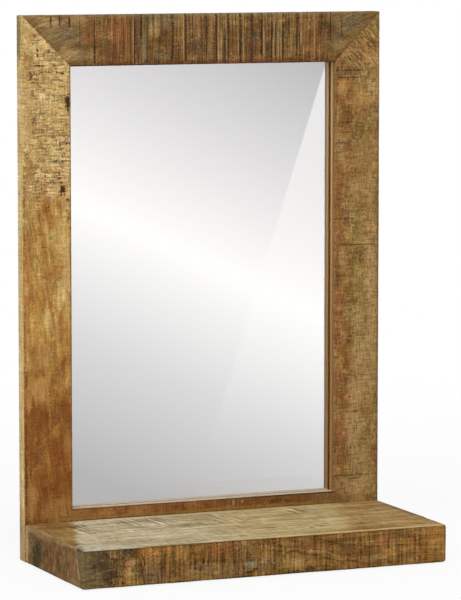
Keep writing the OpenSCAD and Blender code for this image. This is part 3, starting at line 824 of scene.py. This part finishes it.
# The four corner biscuits and the two shelf dowels are plain pressed beech, hidden in their glued
# joints. Their CAD solids are right as they are.
pressed = SawnWood("pressed_beech", ALONG_X, seed=51.0, sway=0.002)
tone = pressed.mix(0.5, streaks=1.0, fibres=1.0, dots=-0.3)
cards = ((186, 142, 96), (198, 158, 112), (212, 178, 134), (222, 192, 150), (232, 206, 168))
colour = pressed.shades(tone, *cards)
beech = pressed.close(colour, 0.6, pressed.fibres, 0.0002)
for node in (
    "corner_biscuit_top_left",
    "corner_biscuit_top_right",
    "corner_biscuit_bottom_left",
    "corner_biscuit_bottom_right",
    "shelf_dowel_left",
    "shelf_dowel_right",
):
    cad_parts[node].data.materials[0] = beech

# The mirror is a 4 mm pane of float glass with ground edges. It is silvered behind, so it runs a hair
# into the coat and no air lies between them.
EDGE_GRIND = 0.0004
INTO_SILVER = 0.00005
OFF_THE_LIP = 0.0001
pane_low, pane_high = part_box("mirror_glass")
pane = block(
    "mirror_pane",
    (pane_low.x, pane_low.y + OFF_THE_LIP, pane_low.z),
    (pane_high.x, pane_high.y + INTO_SILVER, pane_high.z),
)
round_edges(pane, EDGE_GRIND, 1, lambda middle, run: not runs_along(run, 1))
clear = Finish("float_glass")
clear.fill(clear.surface, {"Base Color": (0.99, 0.992, 0.991, 1), "Roughness": 0.0})
clear.fill(clear.surface, {"IOR": 1.5, "Transmission Weight": 1.0})
finish_piece(pane, clear.material, "mirror_glass", 20)

# The silver coat is chemical silver and copper under a grey protective paint, on the back of the pane.
# It is bright towards the glass and dull towards the back panel. Its CAD solid is right as it is.
PAINT_BACK = 0.00002
PAINT_FRONT = 0.00005
coat_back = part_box("silver_coat")[1].y
silvering = Finish("silver_and_paint")
painted = silvering.smooth(silvering.deep, coat_back - PAINT_FRONT, coat_back - PAINT_BACK)
silvered = silvering.blend(tint(247, 246, 245), tint(96, 104, 100), painted)
silvering.fill(
    silvering.surface,
    {"Base Color": silvered, "Metallic": 1 - painted, "Roughness": painted * 0.5},
)
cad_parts["silver_coat"].data.materials[0] = silvering.material

# The back panel is 3 mm hardboard, pressed from wood fibre, with its smooth brown face outwards. It
# lies in the second pocket and is held by the small screws. Its CAD solid is right as it is.
fibre = Finish("pressed_fibreboard")
flecks = fibre.cloud((0.004, 0.0015, 0.003), 3, 3, 0.7)
mottle = fibre.cloud((0.05, 0.05, 0.05), 9, 2)
shade = flecks * 0.7 + mottle * 0.5 - 0.1
stops = ((0.2, tint(84, 58, 38)), (0.5, tint(112, 80, 54)), (0.85, tint(150, 116, 82)))
colour = fibre.ramp(shade, *stops)
board_skin = fibre.close(colour, 0.55, flecks, 0.00015)
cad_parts["back_panel"].data.materials[0] = board_skin

# All the screws are bright zinc-plated steel with a countersunk head and a cross recess. They are the
# CAD's own solids: fourteen in the back panel, four in the hangers and four long ones in the shelf.
plated = Finish("bright_zinc_plate")
spangle = plated.cloud((0.004, 0.004, 0.004), 4, 3, 0.6)
scratch = plated.cloud((0.012, 0.0005, 0.0005), 6, 2, 0.6)
colour = plated.ramp(spangle, (0.3, tint(176, 178, 178)), (0.7, tint(212, 214, 212)))
plated.fill(plated.surface, {"Metallic": 1.0})
zinc = plated.close(colour, 0.24 + spangle * 0.2, scratch, 0.00003)
for node in ("back_panel_screws", "hanger_screws", "shelf_screws"):
    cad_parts[node].data.materials[0] = zinc

# The two keyhole hangers are stamped from 2 mm zinc-plated plate and let in flush with the stiles'
# backs. The press has rolled their edges a little.
PRESS_ROLL = 0.00025
for node in ("hanger_plate_left", "hanger_plate_right"):
    hanger = copy_solid(node.replace("hanger_plate", "keyhole_hanger"), node)
    bpy.ops.object.mode_set(mode="EDIT")
    bpy.ops.mesh.select_all(action="SELECT")
    bpy.ops.mesh.dissolve_limited(angle_limit=math.radians(1))
    bpy.ops.object.mode_set(mode="OBJECT")
    roll = hanger.modifiers.new("roll", "BEVEL")
    roll.width = PRESS_ROLL
    roll.segments = 2
    roll.limit_method = "ANGLE"
    roll.angle_limit = math.radians(40)
    bpy.ops.object.modifier_apply(modifier=roll.name)
    finish_piece(hanger, zinc, node, 40)

# The shelf is glued up from two thick staves, planed and scraped on top and sawn on its front, with
# hand-worn edges. The back stave meets the frame; the front one carries the rounded nose.
SHELF_STEP = 0.0018
NOSE_ROUND = 0.004
CORNER_ROUND = 0.006
SHELF_DENT = 0.0003
NOSE_DENT = 0.0006
back_low, back_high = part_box("shelf_back_stave")
back_stave = block(
    "shelf_back_board",
    (back_low.x, back_low.y - PAST, back_low.z),
    (back_high.x, back_high.y + PAST, back_high.z),
)
round_edges(back_stave, NOSE_ROUND, 4, lambda middle, run: runs_along(run, 1))
divide(back_stave, 0, SHELF_STEP)
divide(back_stave, 1, SHELF_STEP)
divide(back_stave, 2, SHELF_STEP, lambda middle: abs(middle.x) > abs(side_x) - NEAR)
press(back_stave, (0.12, 0.025, 0.05), (0.3, 0, 0), SHELF_DENT)
trim(back_stave, "shelf_back_stave")

front_low, front_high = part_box("shelf_front_stave")
front_stave = block(
    "shelf_front_board",
    (front_low.x, front_low.y, front_low.z),
    (front_high.x, front_high.y + PAST, front_high.z),
)
round_edges(
    front_stave,
    CORNER_ROUND,
    4,
    lambda middle, run: runs_along(run, 2) and middle.y < front_low.y + NEAR,
)
round_edges(
    front_stave,
    NOSE_ROUND,
    4,
    lambda middle, run: not runs_along(run, 2) and middle.y < front_high.y + PAST - NEAR,
)
for axis in (0, 1, 2):
    divide(front_stave, axis, SHELF_STEP)
press(front_stave, (SAW_PITCH, 0.25, 0.25), (0.3, 0, 0), SAW_DEPTH)
press(front_stave, (0.04, 0.02, 0.02), (0.3, 0, 0), NOSE_DENT)
trim(front_stave, "shelf_front_stave")


def shelf_wood(name, seed):
    """A stave's wood with its scraped top painted: brown, with a painted reflection of the mirror's
    light as a pale field in the middle.
    """
    wood = SawnWood(name, (0, 1, 2), seed, sway=0.006, saw_length=0.04, gloss=0.01)
    wood.bands = wood.cloud((0.16, 0.010, 0.02), seed + 23, 3, 0.5, wood.bent) - 0.5
    wood.ticks = wood.cloud((0.0035, 0.020, 0.02), seed + 25, 2, 0.6) - 0.5
    tone = wood.mix(0.5, streaks=0.7, bands=1.0, mottle=0.5)
    brown_wood, greyed, straw = (
        wood.shades(tone, *cards)
        for cards in (
            ((124, 90, 44), (138, 104, 56), (153, 121, 73), (166, 136, 88), (180, 152, 106)),
            ((156, 138, 102), (172, 155, 119), (190, 176, 143), (204, 191, 161), (216, 205, 178)),
            ((148, 126, 80), (164, 143, 96), (180, 159, 112), (194, 175, 130), (206, 189, 148)),
        )
    )
    # Painted reflection: the mirror's light on the top, painted pale between lines below its edges.
    pale_field = wood.blend(greyed, straw, wood.smooth(wood.along + wood.blotches * 0.1, -0.14, 0.06))
    left_side = wood.smooth(wood.along - wood.across * 0.32 + wood.mottle * 0.012, -0.220, -0.212)
    right_side = wood.smooth(wood.along - wood.across * 0.36 + wood.mottle * 0.04, 0.172, 0.136)
    colour = wood.blend(brown_wood, pale_field, left_side * right_side)
    for label, card, crumble, rows in (
        ("checks and dents", (104, 76, 42), 2.2, (
            (20, -50, 22, 2.4, 0.8), (-61, 14, 24, 3.0, 0.4), (-172, 5, 20, 3.0, 0.4),
            (80, -68, 5, 3.2, 0.9), (99, -62, 7, 3.2, 0.9), (152, -62, 8, 3.5, 0.8),
            (176, -58, 8, 3.5, 0.8), (168, -40, 5, 3, 0.6), (190, -78, 10, 4, 0.5),
            (-27, -89, 10, 4, 0.6), (222, -92, 14, 6, 0.4), (-178, -46, 10, 4, 0.4),
        )),
        ("straw patches", (182, 158, 100), 2.2, (
            (-5, -72, 40, 5, 0.6), (56, -26, 5, 6, 0.5), (-178, -46, 12, 7, 0.5),
            (100, -88, 30, 6, 0.4), (11, 20, 20, 8, 0.3), (0, 90, 160, 6, 0.25),
        )),
        ("grey patches", (148, 134, 102), 2.2, (
            (-124, 24, 24, 14, 0.5), (-104, -6, 28, 14, 0.4), (-70, -6, 14, 12, 0.3),
        )),
        ("bleached patches", (208, 190, 146), 2.2, (
            (22, 52, 34, 14, 0.6), (62, 50, 22, 12, 0.5), (-8, -50, 26, 6, 0.4), (140, 47, 16, 8, 0.4),
        )),
        ("brown right end", (174, 144, 96), 2.5, ((218, -10, 70, 90, 0.45),)),
        ("brown corners", (126, 90, 44), 2.5, (
            (-226, 66, 34, 28, 0.7), (-246, -66, 12, 40, 0.6), (196, 40, 14, 12, 0.4),
            (214, -40, 18, 10, 0.4),
        )),
        ("pale streaks", (198, 172, 118), 2.5, (
            (186, 70, 22, 7, 0.5), (176, 24, 26, 8, 0.5), (206, 4, 16, 7, 0.4), (192, -66, 20, 8, 0.5),
            (222, -104, 24, 6, 0.4),
        )),
        ("rosy patches", (158, 132, 110), 2.5, ((-14, 44, 30, 24, 0.5), (-102, 52, 22, 12, 0.4))),
        # Painted shade: a dark line where the top turns down to its right end.
        ("dark right arris", (92, 66, 44), 1.0, ((247.5, -6, 4, 100, 0.9), (243, -8, 6, 54, 0.45))),
    ):
        colour = wood.marks(colour, label, card, crumble, rows)
    scraped = wood.patch((-0.196, 0.034), (0.014, 0.036), wood.mottle * 2)
    for middle, half in (
        ((-0.116, 0.060), (0.034, 0.022)),
        ((-0.080, 0.050), (0.016, 0.030)),
        ((0.005, 0.034), (0.020, 0.034)),
        ((0.110, 0.060), (0.018, 0.026)),
    ):
        scraped = scraped.larger(wood.patch(middle, half, wood.mottle * 2, 0.8))
    strokes = wood.cloud((0.0032, 0.070, 0.02), seed + 21, 1, 0.5, wood.turned(-7, 2))
    wood.scrapes = (wood.smooth(strokes, 0.40, 0.60) - 0.5) * scraped
    ripple = wood.cloud((0.022, 0.0075, 0.02), seed + 27, 2, 0.6, wood.bent) - 0.5
    wood.ripple = ripple * (1 - scraped * 0.7)
    colour = wood.etch(colour, fibres=0.5, grit=0.4, ticks=0.9, bands=0.5, ripple=1.0, scrapes=1.0)
    return wood, colour


def shelf_ends(wood, colour, spared=0.0):
    """Paints the end grain over a stave's colour: brown, with a dark stain near the frame."""
    end_face = wood.face((1, 2, 0))
    ends = wood.smooth(abs(wood.along) + wood.mottle * 0.004, 0.2462, 0.2492) * (1 - spared)
    tone = wood.cloud((0.02, 0.008, 0.014), 2, 3, 0.6) - 0.5 + wood.mottle * 0.8 + 0.5
    end = wood.shades(tone, (80, 60, 34), (98, 74, 43), (116, 89, 56), (131, 102, 66), (148, 119, 82))
    for label, card, crumble, rows in (
        ("reddish grain", (138, 92, 62), 2.0, (
            (-69, 30, 10, 16, 0.3), (-76, 9, 12, 9, 0.3), (28, 13, 6, 7, 0.5), (0, 34, 16, 10, 0.3),
        )),
        # Painted highlights: pale lines on the end's back and top arrises.
        ("pale rims", (176, 152, 104), 2.0, (
            (87, 26, 6, 28, 0.95), (78, 46, 8, 3, 0.6), (24, 49.5, 30, 1.2, 0.6),
            (-70, 49, 24, 1.6, 0.6),
        )),
        ("pale top", (152, 122, 86), 1.6, (
            (30, 47, 44, 5, 0.6), (-40, 48, 30, 3, 0.5), (-84, 4, 16, 6, 0.6),
        )),
        ("brown heart", (98, 66, 36), 2.0, ((-10, 25, 24, 18, 0.4),)),
        ("dark stain", (54, 52, 38), 0.9, (
            # The last row is a dark line along the bottom edge of the end.
            (38, 28, 9, 9, 0.6), (45, 19, 15, 13, 0.85), (53, 6, 13, 9, 0.85), (0, 0.5, 120, 1.4, 0.8),
        )),
    ):
        end = end_face.marks(end, label, card, crumble, rows)
    return wood.blend(colour, wood.etch(end, grit=1.1, mottle=0.8, ticks=0.8), ends)


wood, colour = shelf_wood("shelf_back_wood", 61.0)
colour = shelf_ends(wood, colour)
back_finish = wood.close(colour, 0.65 + wood.fibres * 0.4, wood.fibres, WOOD_RELIEF)
finish_piece(back_stave, back_finish, "shelf_back_stave")

wood, colour = shelf_wood("shelf_front_wood", 67.0)
front_face = wood.face((0, 2, 1))
upright_face = wood.face((2, 0, 1))
at_left = wood.smooth(wood.along, -0.2400, -0.2470)
worn_corner = wood.across - wood.deep * 0.32 - (front_low.y + 0.009)
round_corner = wood.smooth(worn_corner + wood.mottle * 0.01, 0.001, -0.002) * at_left
front = wood.smooth(wood.across, front_low.y + 0.0035, front_low.y + 0.0015).larger(round_corner)
wood.upright = wood.cloud((0.0026, 0.05, 0.05), 72, 3, 0.6) - 0.5
ripples = front_face.cloud((0.020, 0.0030, 0.05), 75, 2, 0.5) - 0.5
rippled = front_face.patch((-0.196, 0.012), (0.024, 0.016), wood.mottle * 2)
for middle, half in (((-0.096, 0.016), (0.024, 0.010)), ((-0.238, 0.012), (0.020, 0.016))):
    rippled = rippled.larger(front_face.patch(middle, half, wood.mottle * 2))
wood.ripples = ripples * rippled
tone = wood.mix(0.5, streaks=0.4, blotches=1.1, mottle=0.7, upright=0.4)
wood.hatch = front_face.cloud((0.055, 0.0026, 0.05), 77, 2, 0.6) - 0.5
nose = wood.shades(tone, (86, 57, 24), (104, 73, 33), (122, 91, 46), (139, 107, 58), (156, 124, 74))
nose = wood.turn_hue(nose, 0.05)
for label, card, crumble, rows in (
    ("grey corner", (102, 87, 59), 1.2, ((-234, 25, 26, 40, 0.9), (-191, 41, 8, 9, 0.6))),
    ("amber patches", (164, 114, 58), 2.0, (
        (-156, 40, 16, 14, 0.7), (-121, 40, 6, 9, 0.6), (109, 46, 22, 4.5, 0.8), (218, 28, 34, 32, 0.5),
        (166, 17, 24, 6, 0.4), (-7, 30, 10, 9, 0.5),
    )),
    ("reddish patches", (142, 90, 52), 2.0, (
        (-192, 27, 4.5, 7, 0.9), (-148, 28, 12, 12, 0.3), (-68, 38, 22, 9, 0.5), (20, 44, 30, 6, 0.3),
        (52, 36, 8, 9, 0.4), (66, 33, 20, 7, 0.3), (161, 36, 9, 12, 0.6), (112, 6, 12, 4, 0.5),
    )),
    ("brown patches", (106, 72, 42), 2.0, (
        (-42, 26, 14, 11, 0.6), (-88, 26, 3, 5, 0.7), (107, 25, 18, 7, 0.5), (141, 23, 14, 6, 0.8),
        (-217, 43, 5, 4, 0.6), (188, 41, 14, 8, 0.4),
    )),
    ("dun patches", (136, 108, 76), 2.0, (
        (-156, 13, 16, 13, 0.6), (-98, 15, 18, 8, 0.6), (-55, 11, 24, 8, 0.5), (-5, 19, 12, 8, 0.6),
        (38, 19, 10, 5, 0.4), (150, 12, 20, 4, 0.4),
    )),
    ("pale flecks", (174, 136, 86), 2.0, (
        (-201, 30, 4, 5, 0.7), (-182, 30, 5, 6, 0.8), (-182, 16, 5, 4.5, 0.8), (-113, 35, 2.5, 9, 0.6),
        (-71, 10, 8, 3, 0.4), (-212, 43, 0.9, 7, 0.7), (-207, 42, 0.9, 5, 0.5), (13, 17, 3, 4, 0.5),
        (207, 24, 1.2, 20, 0.5),
    )),
    ("olive patches", (94, 72, 44), 1.6, (
        (-203, 22, 10, 13, 0.65), (-176, 20, 8, 9, 0.5), (-157, 33, 10, 9, 0.5), (-157, 16, 13, 9, 0.4),
        (-22, 41, 24, 6, 0.5), (-16, 30, 14, 8, 0.4), (2, 14, 14, 6, 0.4), (111, 42, 12, 5, 0.6),
        (110, 32, 10, 5, 0.5), (190, 40, 12, 5, 0.4), (192, 14, 14, 5, 0.5),
    )),
    ("honey patches", (162, 112, 58), 2.0, (
        (-136, 43, 8, 5, 0.6), (-96, 42, 10, 6, 0.7), (-97, 34, 9, 6, 0.5),
    )),
    ("straw patches", (164, 130, 80), 2.0, ((38, 15, 12, 6, 0.6), (152, 14, 12, 4, 0.6))),
    ("grey spot", (142, 130, 108), 2.0, ((-25, 17, 5.5, 5.5, 0.9),)),
    ("upright saw lines", (96, 56, 34), 2.0, (
        (-120, 20, 1.1, 12, 0.7), (-100, 30, 1.1, 18, 0.6), (43, 28, 1.0, 14, 0.4),
        (84, 22, 1.0, 20, 0.6), (89, 22, 1.0, 20, 0.7), (109, 20, 1.0, 12, 0.5),
        (128, 20, 2.2, 11, 0.9), (166, 31, 1.3, 7, 0.7), (176, 30, 0.9, 16, 0.4),
        (204, 24, 1.1, 19, 0.7), (211, 22, 1.1, 18, 0.7), (8, 22, 1.0, 15, 0.7), (17, 31, 1.0, 8, 0.7),
        (-46, 30, 1.0, 12, 0.4), (-36, 28, 1.0, 12, 0.4), (-214, 3, 5, 3, 0.4),
    )),
    ("dark stain", (64, 47, 34), 2.4, (
        (-224, 40, 12, 9, 0.6), (-219, 29, 14, 9, 0.75), (-213, 14, 8, 14, 0.7), (-203, 34, 8, 7, 0.5),
        (-186, 44, 8, 5, 0.5),
    )),
    ("black specks", (60, 45, 34), 2.0, (
        (-189, 49, 6, 3.5, 0.9), (-88.5, 26, 1.3, 5, 0.9), (-82, 26, 1.2, 5, 0.8),
        (-75, 26, 1.1, 4, 0.6), (-70, 26, 1.1, 4, 0.5), (-26, 7.8, 5, 1.6, 0.9),
        (-18, 10.5, 3, 1.6, 0.9), (-23, 22.5, 4, 0.9, 0.8), (60, 6, 9, 3, 0.7), (44, 3, 14, 2, 0.7),
        # The last row is a dark line along the whole bottom edge of the front.
        (8, 48, 8, 2.5, 0.5), (26, 46, 10, 3, 0.4), (0, 0.8, 250, 1.4, 0.85),
    )),
):
    nose = front_face.marks(nose, label, card, crumble, rows)
DARK_VEIN = (68, 50, 28)
for card, half_width, strength, points in (
    (DARK_VEIN, 0.0013, 0.85, (
        (20, 28), (38, 29), (50, 25.5), (71, 21.5), (81, 17), (93, 14.5), (101, 8),
    )),
    ((188, 140, 96), 0.0014, 0.5, ((22, 33), (41, 32), (50, 29.5), (78, 26), (90, 20))),
    ((176, 134, 84), 0.0013, 0.5, ((-16, 35), (-7, 39), (8, 36), (24, 32))),
    (DARK_VEIN, 0.0012, 0.8, (
        (54, 45), (71, 42), (83, 39), (93, 36), (113, 33), (135, 29.5), (156, 28),
    )),
    ((92, 54, 30), 0.0012, 0.75, (
        (97, 7), (103, 11), (109, 13), (121, 9.5), (142, 7), (160, 10), (168, 7), (175, 1),
    )),
    ((170, 130, 92), 0.0013, 0.35, (
        (99, 12), (109, 16.5), (121, 13), (142, 10.5), (160, 13.5), (172, 9),
    )),
    ((112, 66, 34), 0.0010, 0.6, ((168, 23), (192, 18), (247, 13))),
    ((112, 66, 34), 0.0010, 0.5, ((208, 11), (222, 8), (247, 6))),
    ((140, 118, 76), 0.0013, 0.5, ((-250, 14), (-242, 15.5), (-221, 22), (-205, 24))),
    ((92, 64, 34), 0.0012, 0.6, ((-250, 6), (-236, 5), (-222, 8))),
):
    nose = front_face.trace(nose, card, half_width, strength, points)
for card, half_width, strength, points in (
    ((64, 38, 20), 0.0018, 0.9, (
        (-1, -167), (11, -169), (21, -170), (28, -167), (34, -169), (43, -172),
    )),
    ((92, 58, 30), 0.0010, 0.8, ((-1, -135), (9, -137), (19, -140), (26, -140), (43, -141))),
):
    nose = upright_face.trace(nose, card, half_width, strength, points)
# Painted shade: a dark line down the front's right arris.
nose = wood.blend(nose, tint(70, 54, 34), wood.smooth(wood.along, 0.2472, 0.2486) * 0.8)
under_rim = front_face.smooth(front_face.across, 0.0465, 0.0475)
nose = wood.blend(nose, tint(72, 54, 34), under_rim * (wood.mottle * 2 + 0.55))
rough = wood.smooth(wood.along, 0.16, -0.02)
greyed = wood.smooth(wood.along + wood.mottle * 0.04, -0.196, -0.220)
nose = wood.etch(
    nose,
    upright=1.9 + rough * 0.8 - greyed * 1.9,
    hatch=1.4 - rough * 0.9,
    grit=0.9 + rough * 0.5 - greyed * 0.7,
    dots=-0.28,
    creams=0.25,
    fibres=1.1 - greyed * 0.5,
    ripples=1.6,
)
colour = wood.blend(colour, nose, front)
colour = shelf_ends(wood, colour, round_corner)
# Painted highlight: a pale line down the worn left front corner, fading out towards the bottom.
arris = wood.smooth(abs(worn_corner + wood.mottle * 0.006), 0.0055, 0.0005) * at_left
arris = arris * wood.smooth(wood.deep, 0.004, 0.022) * (0.45 + wood.mottle * 1.5)
colour = wood.blend(colour, tint(184, 156, 116), arris)
# Painted highlight: a pale line along the top of the nose, faint at the left end.
above_rim = front_face.smooth(front_face.across, 0.0480, 0.0490)
rim = above_rim * wood.smooth(wood.across, front_low.y + 0.008, front_low.y + 0.004)
rim = rim * (0.15 + wood.smooth(wood.along, -0.05, 0.02) * 0.55 + wood.mottle)
colour = wood.blend(colour, tint(210, 182, 124), rim)
# Painted highlight: the worn left end of the nose catches the light, painted pale grey.
worn_nose_highlight = wood.smooth(wood.across + wood.along * 0.45 + wood.mottle * 0.012, -0.187, -0.191)
worn_nose_highlight = worn_nose_highlight * wood.smooth(wood.along, -0.249, -0.243) * above_rim
tone = wood.mix(0.5, mottle=1.0, ticks=0.8)
cards = ((140, 140, 116), (164, 164, 140), (188, 188, 168), (202, 202, 186), (212, 212, 198))
colour = wood.blend(colour, wood.shades(tone, *cards), worn_nose_highlight * 0.7)
relief = wood.fibres * 0.5 + wood.upright * front + wood.ripples
front_finish = wood.close(colour, 0.65 + wood.fibres * 0.4, relief, WOOD_RELIEF)
finish_piece(front_stave, front_finish, "shelf_front_stave")

# The studio: a pale floor under the mirror's foot, a wide soft lamp above and one at the left, and
# a grey card that only the mirror sees. Its brightest line and the edge of its pale veil both slant.
WHITE = (1, 1, 1, 1)
UNDER_FOOT = 0.0005
BRIGHT_X = 0.995
BRIGHT_Z = 0.183
BRIGHT_SLANT = 0.464
VEIL_X = 1.309
VEIL_Z = -0.358
VEIL_SLANT = 0.334


def stage_plane(name, size, place, tip, material):
    """A flat square of the studio, which isn't part of the mirror."""
    bpy.ops.object.select_all(action="DESELECT")
    bpy.ops.mesh.primitive_plane_add(size=size, location=place, rotation=(math.radians(tip), 0, 0))
    plane = bpy.context.object
    plane.name = name
    bpy.ops.object.transform_apply(location=True, rotation=True, scale=True)
    plane.data.materials.append(material)
    return plane


pale_floor = Finish("pale_floor")
pale_floor.fill(pale_floor.surface, {"Base Color": (0.9, 0.9, 0.9, 1), "Roughness": 0.9})
shaded = Level(pale_floor, pale_floor.surface.outputs[0])
glow = pale_floor.node("ShaderNodeEmission", None, {"Color": WHITE, "Strength": 1.0})
camera_ray = pale_floor.node("ShaderNodeLightPath", output="Is Camera Ray")
away = pale_floor.node("ShaderNodeVectorMath", {"operation": "LENGTH"}, {0: pale_floor.place}, "Value")
plain = 0.86 + pale_floor.smooth(away, 0.4, 2.0) * 0.14
lit = pale_floor.node("ShaderNodeMixShader", None, {0: camera_ray * plain, 1: shaded, 2: glow})
pale_floor.show(lit)
floor = stage_plane("floor", 12, (0, 0, -UNDER_FOOT), 0, pale_floor.material)
floor.visible_glossy = False
floor.visible_transmission = False

screen = Finish("grey_card")
rise = screen.across - BRIGHT_Z + (screen.along - BRIGHT_X) * BRIGHT_SLANT
graded = screen.node("ShaderNodeMapRange", None, {0: rise, 1: -0.6, 2: 0.6, 3: 0.0, 4: 1.0})
grades = screen.ramp(
    graded,
    (0.0, tint(181, 181, 182)),
    (0.25, tint(218, 218, 219)),
    (0.5, tint(255, 255, 255)),
    (0.75, tint(223, 222, 223)),
    (1.0, tint(186, 185, 187)),
)
slope = (screen.along - VEIL_X) - (screen.across - VEIL_Z) * VEIL_SLANT
fading = screen.node("ShaderNodeMapRange", None, {0: screen.across, 1: -0.40, 2: 0.45, 4: 0.60})
veiled = screen.blend(grades, WHITE, screen.smooth(slope, -0.002, 0.002) * fading)
screen.show(screen.node("ShaderNodeEmission", None, {"Color": veiled, "Strength": 1.10}))
mirror_card = stage_plane("grey_card", 8, (1.3, -3.0, 0), -90, screen.material)
mirror_card.visible_camera = False
mirror_card.visible_diffuse = False
mirror_card.visible_shadow = False

# The mirror shows the card and not the shelf, so the shelf and what is inside it are hidden from the
# rays that pass through the glass.
inside_shelf = ("shelf_screws", "shelf_dowel_left", "shelf_dowel_right")
for piece in (back_stave, front_stave, *(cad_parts[node] for node in inside_shelf)):
    piece.visible_transmission = False

# The air round the mirror is a soft light on the wood, and plain white to the camera, to gloss and
# through glass.
world = bpy.data.worlds.new("studio")
world.use_nodes = True
scene.world = world
air = Nodes(world.node_tree)
soft = air.node("ShaderNodeBackground", None, {"Color": WHITE, "Strength": 0.5})
white = air.node("ShaderNodeBackground", None, {"Color": WHITE, "Strength": 1.0})
camera_ray, glossy_ray, clear_ray = (
    air.node("ShaderNodeLightPath", output=output)
    for output in ("Is Camera Ray", "Is Glossy Ray", "Is Transmission Ray")
)
seen = camera_ray.larger(glossy_ray).larger(clear_ray)
both = air.node("ShaderNodeMixShader", None, {0: seen, 1: soft, 2: white})
air.fill(air.tree.nodes["World Output"], {"Surface": both})


def soft_lamp(name, place, aim, size, power):
    """A square lamp at a place, turned to face a point."""
    bpy.ops.object.light_add(type="AREA", location=place)
    lamp = bpy.context.object
    lamp.name = name
    lamp.data.size = size
    lamp.data.energy = power
    away = [a - b for a, b in zip(place, aim)]
    flat = math.hypot(away[0], away[1])
    lamp.rotation_euler = (math.atan2(flat, away[2]), 0, math.atan2(away[0], -away[1]))


soft_lamp("lamp_above", (-0.9, -2.2, 4.6), (0, 0, 0.3), 3.0, 122)
soft_lamp("lamp_left", (-3.9, -2.7, 1.6), (0, 0, 0.3), 2.2, 51)

# The camera stands at the mirror's left, a little above its middle, and looks slightly down. Its place
# and its long lens were fitted to the straight edges in the photo.
CAMERA_DIP = 6.197
CAMERA_TURN = 22.918
bpy.ops.object.camera_add(
    location=(-1.78529, -4.21432, 0.83479),
    rotation=(math.radians(90 - CAMERA_DIP), 0, -math.radians(CAMERA_TURN)),
)
camera = bpy.context.object
camera.name = "camera"
camera.data.lens = 216.69
camera.data.sensor_width = 36
scene.camera = camera
scene.view_settings.view_transform = "Standard"
